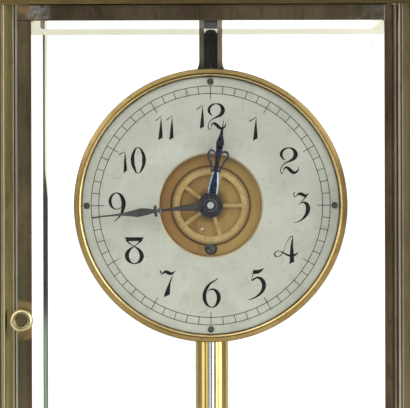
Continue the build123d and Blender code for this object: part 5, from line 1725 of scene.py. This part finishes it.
@dataclass
class Pendulum:
    """The suspension, the crutch, and the pendulum with its coil and rating nut."""

    palette: Palette
    finishes: Finishes
    shade_strip_half: float = 0.9
    wire_pitch: float = 0.95
    wire_share: float = 0.52

    def build(self) -> None:
        """Dress every piece from the bracket to the nut, and remake the spring as a subdivided strip."""
        finishes = self.finishes
        self.palette.dress_nodes(
            {
                "suspension_bracket": finishes.cheek_brass,
                "insulating_block": finishes.ebonite,
                "pendulum_chops": finishes.pale_brass,
                "pendulum_rod": finishes.bright_steel,
                "crutch": finishes.pale_brass,
                "bobbin": finishes.ebonite,
                "coil_winding": finishes.silk,
                "coil_hanger": finishes.pale_brass,
                "rating_nut": finishes.pale_brass,
                "suspension_spring": finishes.bright_steel,
            }
        )
        self.slit_liner()
        self.block_glint()
        self.spring_strip()
        self.coil_turns()

    def slit_liner(self) -> None:
        """A dark strip behind the block's split: painted shade that keeps the slit dark."""
        low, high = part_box("insulating_block")
        middle = (low.x + high.x) / 2 / MM
        half = self.shade_strip_half
        outline = rectangle(middle - half, middle + half, low.z / MM + 0.2, high.z / MM - 0.1)
        back = high.y / MM
        shade_strip = Bench(Vector()).plate("slit_liner", outline, back - 0.6, back + 0.1, 0.05)
        self.palette.dress(shade_strip, self.finishes.ebonite)
        fix(shade_strip, "case")

    def block_glint(self) -> None:
        """A bright line round the block's top edge, a painted highlight in a glowing finish."""
        low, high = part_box("insulating_block")
        left, right, top = low.x / MM, high.x / MM, high.z / MM
        line = [
            (left + 0.3, top - 1.7, 0.2), (left + 0.75, top - 0.6, 0.28), (left + 1.5, top - 0.1, 0.3),
            (right - 1.5, top - 0.1, 0.3), (right - 0.75, top - 0.6, 0.28), (right - 0.3, top - 1.7, 0.2),
        ]
        wire = Bench(Vector()).strokes("block_glint_wire", [line], low.y / MM - 0.15, 1.0)
        self.palette.dress(wire, self.finishes.pale_glowing_bead)
        fix(wire, "case")

    def spring_strip(self) -> None:
        """The suspension spring, a thin strip cut into sections."""
        low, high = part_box("suspension_spring")
        Bench.clear()
        bpy.ops.mesh.primitive_cube_add(size=1.0, location=(low + high) / 2, scale=high - low)
        strip = bpy.context.object
        strip.name = "spring_strip"
        bpy.ops.object.transform_apply(location=True, rotation=True, scale=True)
        bpy.ops.object.mode_set(mode="EDIT")
        bpy.ops.mesh.select_all(action="SELECT")
        bpy.ops.mesh.subdivide(number_cuts=7)
        bpy.ops.object.mode_set(mode="OBJECT")
        self.palette.dress(strip, self.finishes.bright_steel)
        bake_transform(strip)
        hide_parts("suspension_spring")
        log.info("made %s", strip.name)

    def coil_turns(self) -> None:
        """The coil: close turns of silk-covered wire on the bobbin."""
        low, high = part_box("coil_winding")
        middle = (low + high) / 2
        radius = (high.z - low.z) / 2 / MM
        count = round((high.x - low.x) / MM / self.wire_pitch)
        pitch = (high.x - low.x) / count
        wire = pitch * self.wire_share
        pieces = []
        for turn in range(count):
            Bench.clear()
            x = low.x + pitch * (turn + 0.5)
            bpy.ops.mesh.primitive_torus_add(
                major_segments=72, minor_segments=8, major_radius=radius * MM - wire, minor_radius=wire,
                location=(x, middle.y, middle.z), rotation=(0.0, pi / 2, 0.0),
            )
            bpy.ops.object.transform_apply(location=True, rotation=True, scale=True)
            pieces.append(bpy.context.object)
        coil = Bench(middle).join("coil_turns", pieces)
        bpy.ops.object.shade_smooth()
        self.palette.dress(coil, self.finishes.silk)
        fix(coil, "bob", "coil_winding")


@dataclass
class Power:
    """The magnet, the cell and its leads."""

    palette: Palette
    finishes: Finishes

    def build(self) -> None:
        """Dress the magnet, its pillars, the cell and the leads."""
        finishes = self.finishes
        self.palette.dress_nodes(
            {
                "magnet": finishes.magnet,
                "magnet_supports": finishes.column_brass,
                "battery": finishes.zinc,
                "battery_leads": finishes.braid,
            }
        )


@dataclass
class Studio:
    """The camera, the lamps, the white surround and the floor."""

    camera_place: Colour = (0.013, -2.026, 0.230)
    lens: float = 365.8
    shift: tuple[float, float] = (-31 / 410, 22 / 410)
    roll: float = 0.15
    floor_radius: float = 2.8
    lamps: tuple[tuple[str, Colour, float, float], ...] = (
        ("key", (-0.95, -1.35, 1.15), 1.6, 9.5),
        ("fill", (1.3, -1.1, 0.55), 1.3, 13.0),
        ("rim", (0.6, 1.4, 1.5), 1.2, 8.0),
    )

    def build(self) -> None:
        """Set up the whole studio."""
        self.camera()
        self.surround()
        for name, place, size, power in self.lamps:
            self.lamp(name, place, size, power)
        self.floor()
        bpy.context.scene.view_settings.view_transform = "Standard"

    def camera(self) -> None:
        """The camera, at the picture's angle and frame."""
        data = bpy.data.cameras.new("camera")
        data.lens = self.lens
        data.sensor_width = 36.0
        data.shift_x, data.shift_y = self.shift
        camera = bpy.data.objects.new("camera", data)
        camera.location = self.camera_place
        camera.rotation_euler = (radians(90), radians(self.roll), 0.0)
        bpy.context.scene.collection.objects.link(camera)
        bpy.context.scene.camera = camera

    def lamp(self, name: str, place: Colour, size: float, power: float) -> None:
        """A soft square lamp that looks at the clock.

        Args:
            name: The lamp's name.
            place: Where it stands, in metres.
            size: Its side in metres.
            power: Its power in watts.
        """
        data = bpy.data.lights.new(name, "AREA")
        data.shape = "SQUARE"
        data.size = size
        data.energy = power
        lamp = bpy.data.objects.new(name, data)
        lamp.location = place
        aim = Vector((0.0, 0.0, 0.2)) - Vector(place)
        lamp.rotation_euler = aim.to_track_quat("-Z", "Y").to_euler()
        lamp.visible_camera = False
        bpy.context.scene.collection.objects.link(lamp)

    def surround(self) -> None:
        """A white backdrop for the eye, and a dimmer room for the metal to reflect."""
        world = bpy.data.worlds.new("surround")
        bpy.context.scene.world = world
        world.use_nodes = True
        tree = world.node_tree
        tree.nodes.clear()
        output = tree.nodes.new("ShaderNodeOutputWorld")
        place = tree.nodes.new("ShaderNodeTexCoord")
        parts = tree.nodes.new("ShaderNodeSeparateXYZ")
        tree.links.new(place.outputs["Generated"], parts.inputs[0])
        depth = tree.nodes.new("ShaderNodeMapRange")
        depth.inputs["From Min"].default_value = -1.0
        depth.inputs["From Max"].default_value = 1.0
        tree.links.new(parts.outputs["Y"], depth.inputs["Value"])
        ramp = tree.nodes.new("ShaderNodeValToRGB")
        stops = [
            (0.0, 0.09), (0.055, 0.11), (0.09, 0.95), (0.15, 1.0), (0.18, 0.5), (0.21, 0.5), (0.25, 1.0),
            (0.33, 1.0),
            (0.4, 0.2), (0.6, 0.14), (1.0, 0.35),
        ]
        while len(ramp.color_ramp.elements) < len(stops):
            ramp.color_ramp.elements.new(0.5)
        for element, (position, level) in zip(ramp.color_ramp.elements, stops):
            element.position = position
            element.color = (level, level, level, 1.0)
        tree.links.new(depth.outputs[0], ramp.inputs[0])
        room = tree.nodes.new("ShaderNodeBackground")
        room.inputs["Strength"].default_value = 1.35
        tree.links.new(ramp.outputs[0], room.inputs["Color"])
        white = tree.nodes.new("ShaderNodeBackground")
        path = tree.nodes.new("ShaderNodeLightPath")
        veil = tree.nodes.new("ShaderNodeMapRange")
        veil.inputs["To Min"].default_value = 1.0
        veil.inputs["To Max"].default_value = 2.2
        veil.inputs["From Max"].default_value = 6.0
        tree.links.new(path.outputs["Transmission Depth"], veil.inputs["Value"])
        tree.links.new(veil.outputs[0], white.inputs["Strength"])
        bounced = tree.nodes.new("ShaderNodeMath")
        bounced.operation = "ADD"
        tree.links.new(path.outputs["Glossy Depth"], bounced.inputs[0])
        tree.links.new(path.outputs["Diffuse Depth"], bounced.inputs[1])
        either = tree.nodes.new("ShaderNodeMath")
        either.operation = "GREATER_THAN"
        either.inputs[1].default_value = 0.5
        tree.links.new(bounced.outputs[0], either.inputs[0])
        mixed = tree.nodes.new("ShaderNodeMixShader")
        tree.links.new(either.outputs[0], mixed.inputs[0])
        tree.links.new(white.outputs[0], mixed.inputs[1])
        tree.links.new(room.outputs[0], mixed.inputs[2])
        tree.links.new(mixed.outputs[0], output.inputs["Surface"])

    def floor(self) -> None:
        """A round pale floor."""
        Bench.clear()
        bpy.ops.mesh.primitive_circle_add(vertices=128, radius=self.floor_radius, fill_type="NGON")
        floor = bpy.context.object
        floor.name = "floor"
        pale = Enamelled("pale_floor", (0.78, 0.78, 0.77), (0.82, 0.82, 0.81), 0.6, 0.75, 6.0, 60.0, 0.05)
        floor.data.materials.append(pale.make())


def main() -> None:
    """Build the sub-assemblies in order."""
    logging.basicConfig(level=logging.INFO, format="%(message)s")
    low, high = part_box("bezel")
    centre = (low + high) / 2
    centre.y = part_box("dial")[0].y
    palette = Palette()
    finishes = Finishes(tuple(centre))
    bench = Bench(centre)
    CaseWork(palette, finishes).build()
    Dial(palette, finishes, bench).build()
    Hands(palette, finishes, bench).build()
    Movement(palette, finishes, bench).build()
    Pendulum(palette, finishes).build()
    Power(palette, finishes).build()
    Studio().build()


if __name__ == "__main__":
    main()
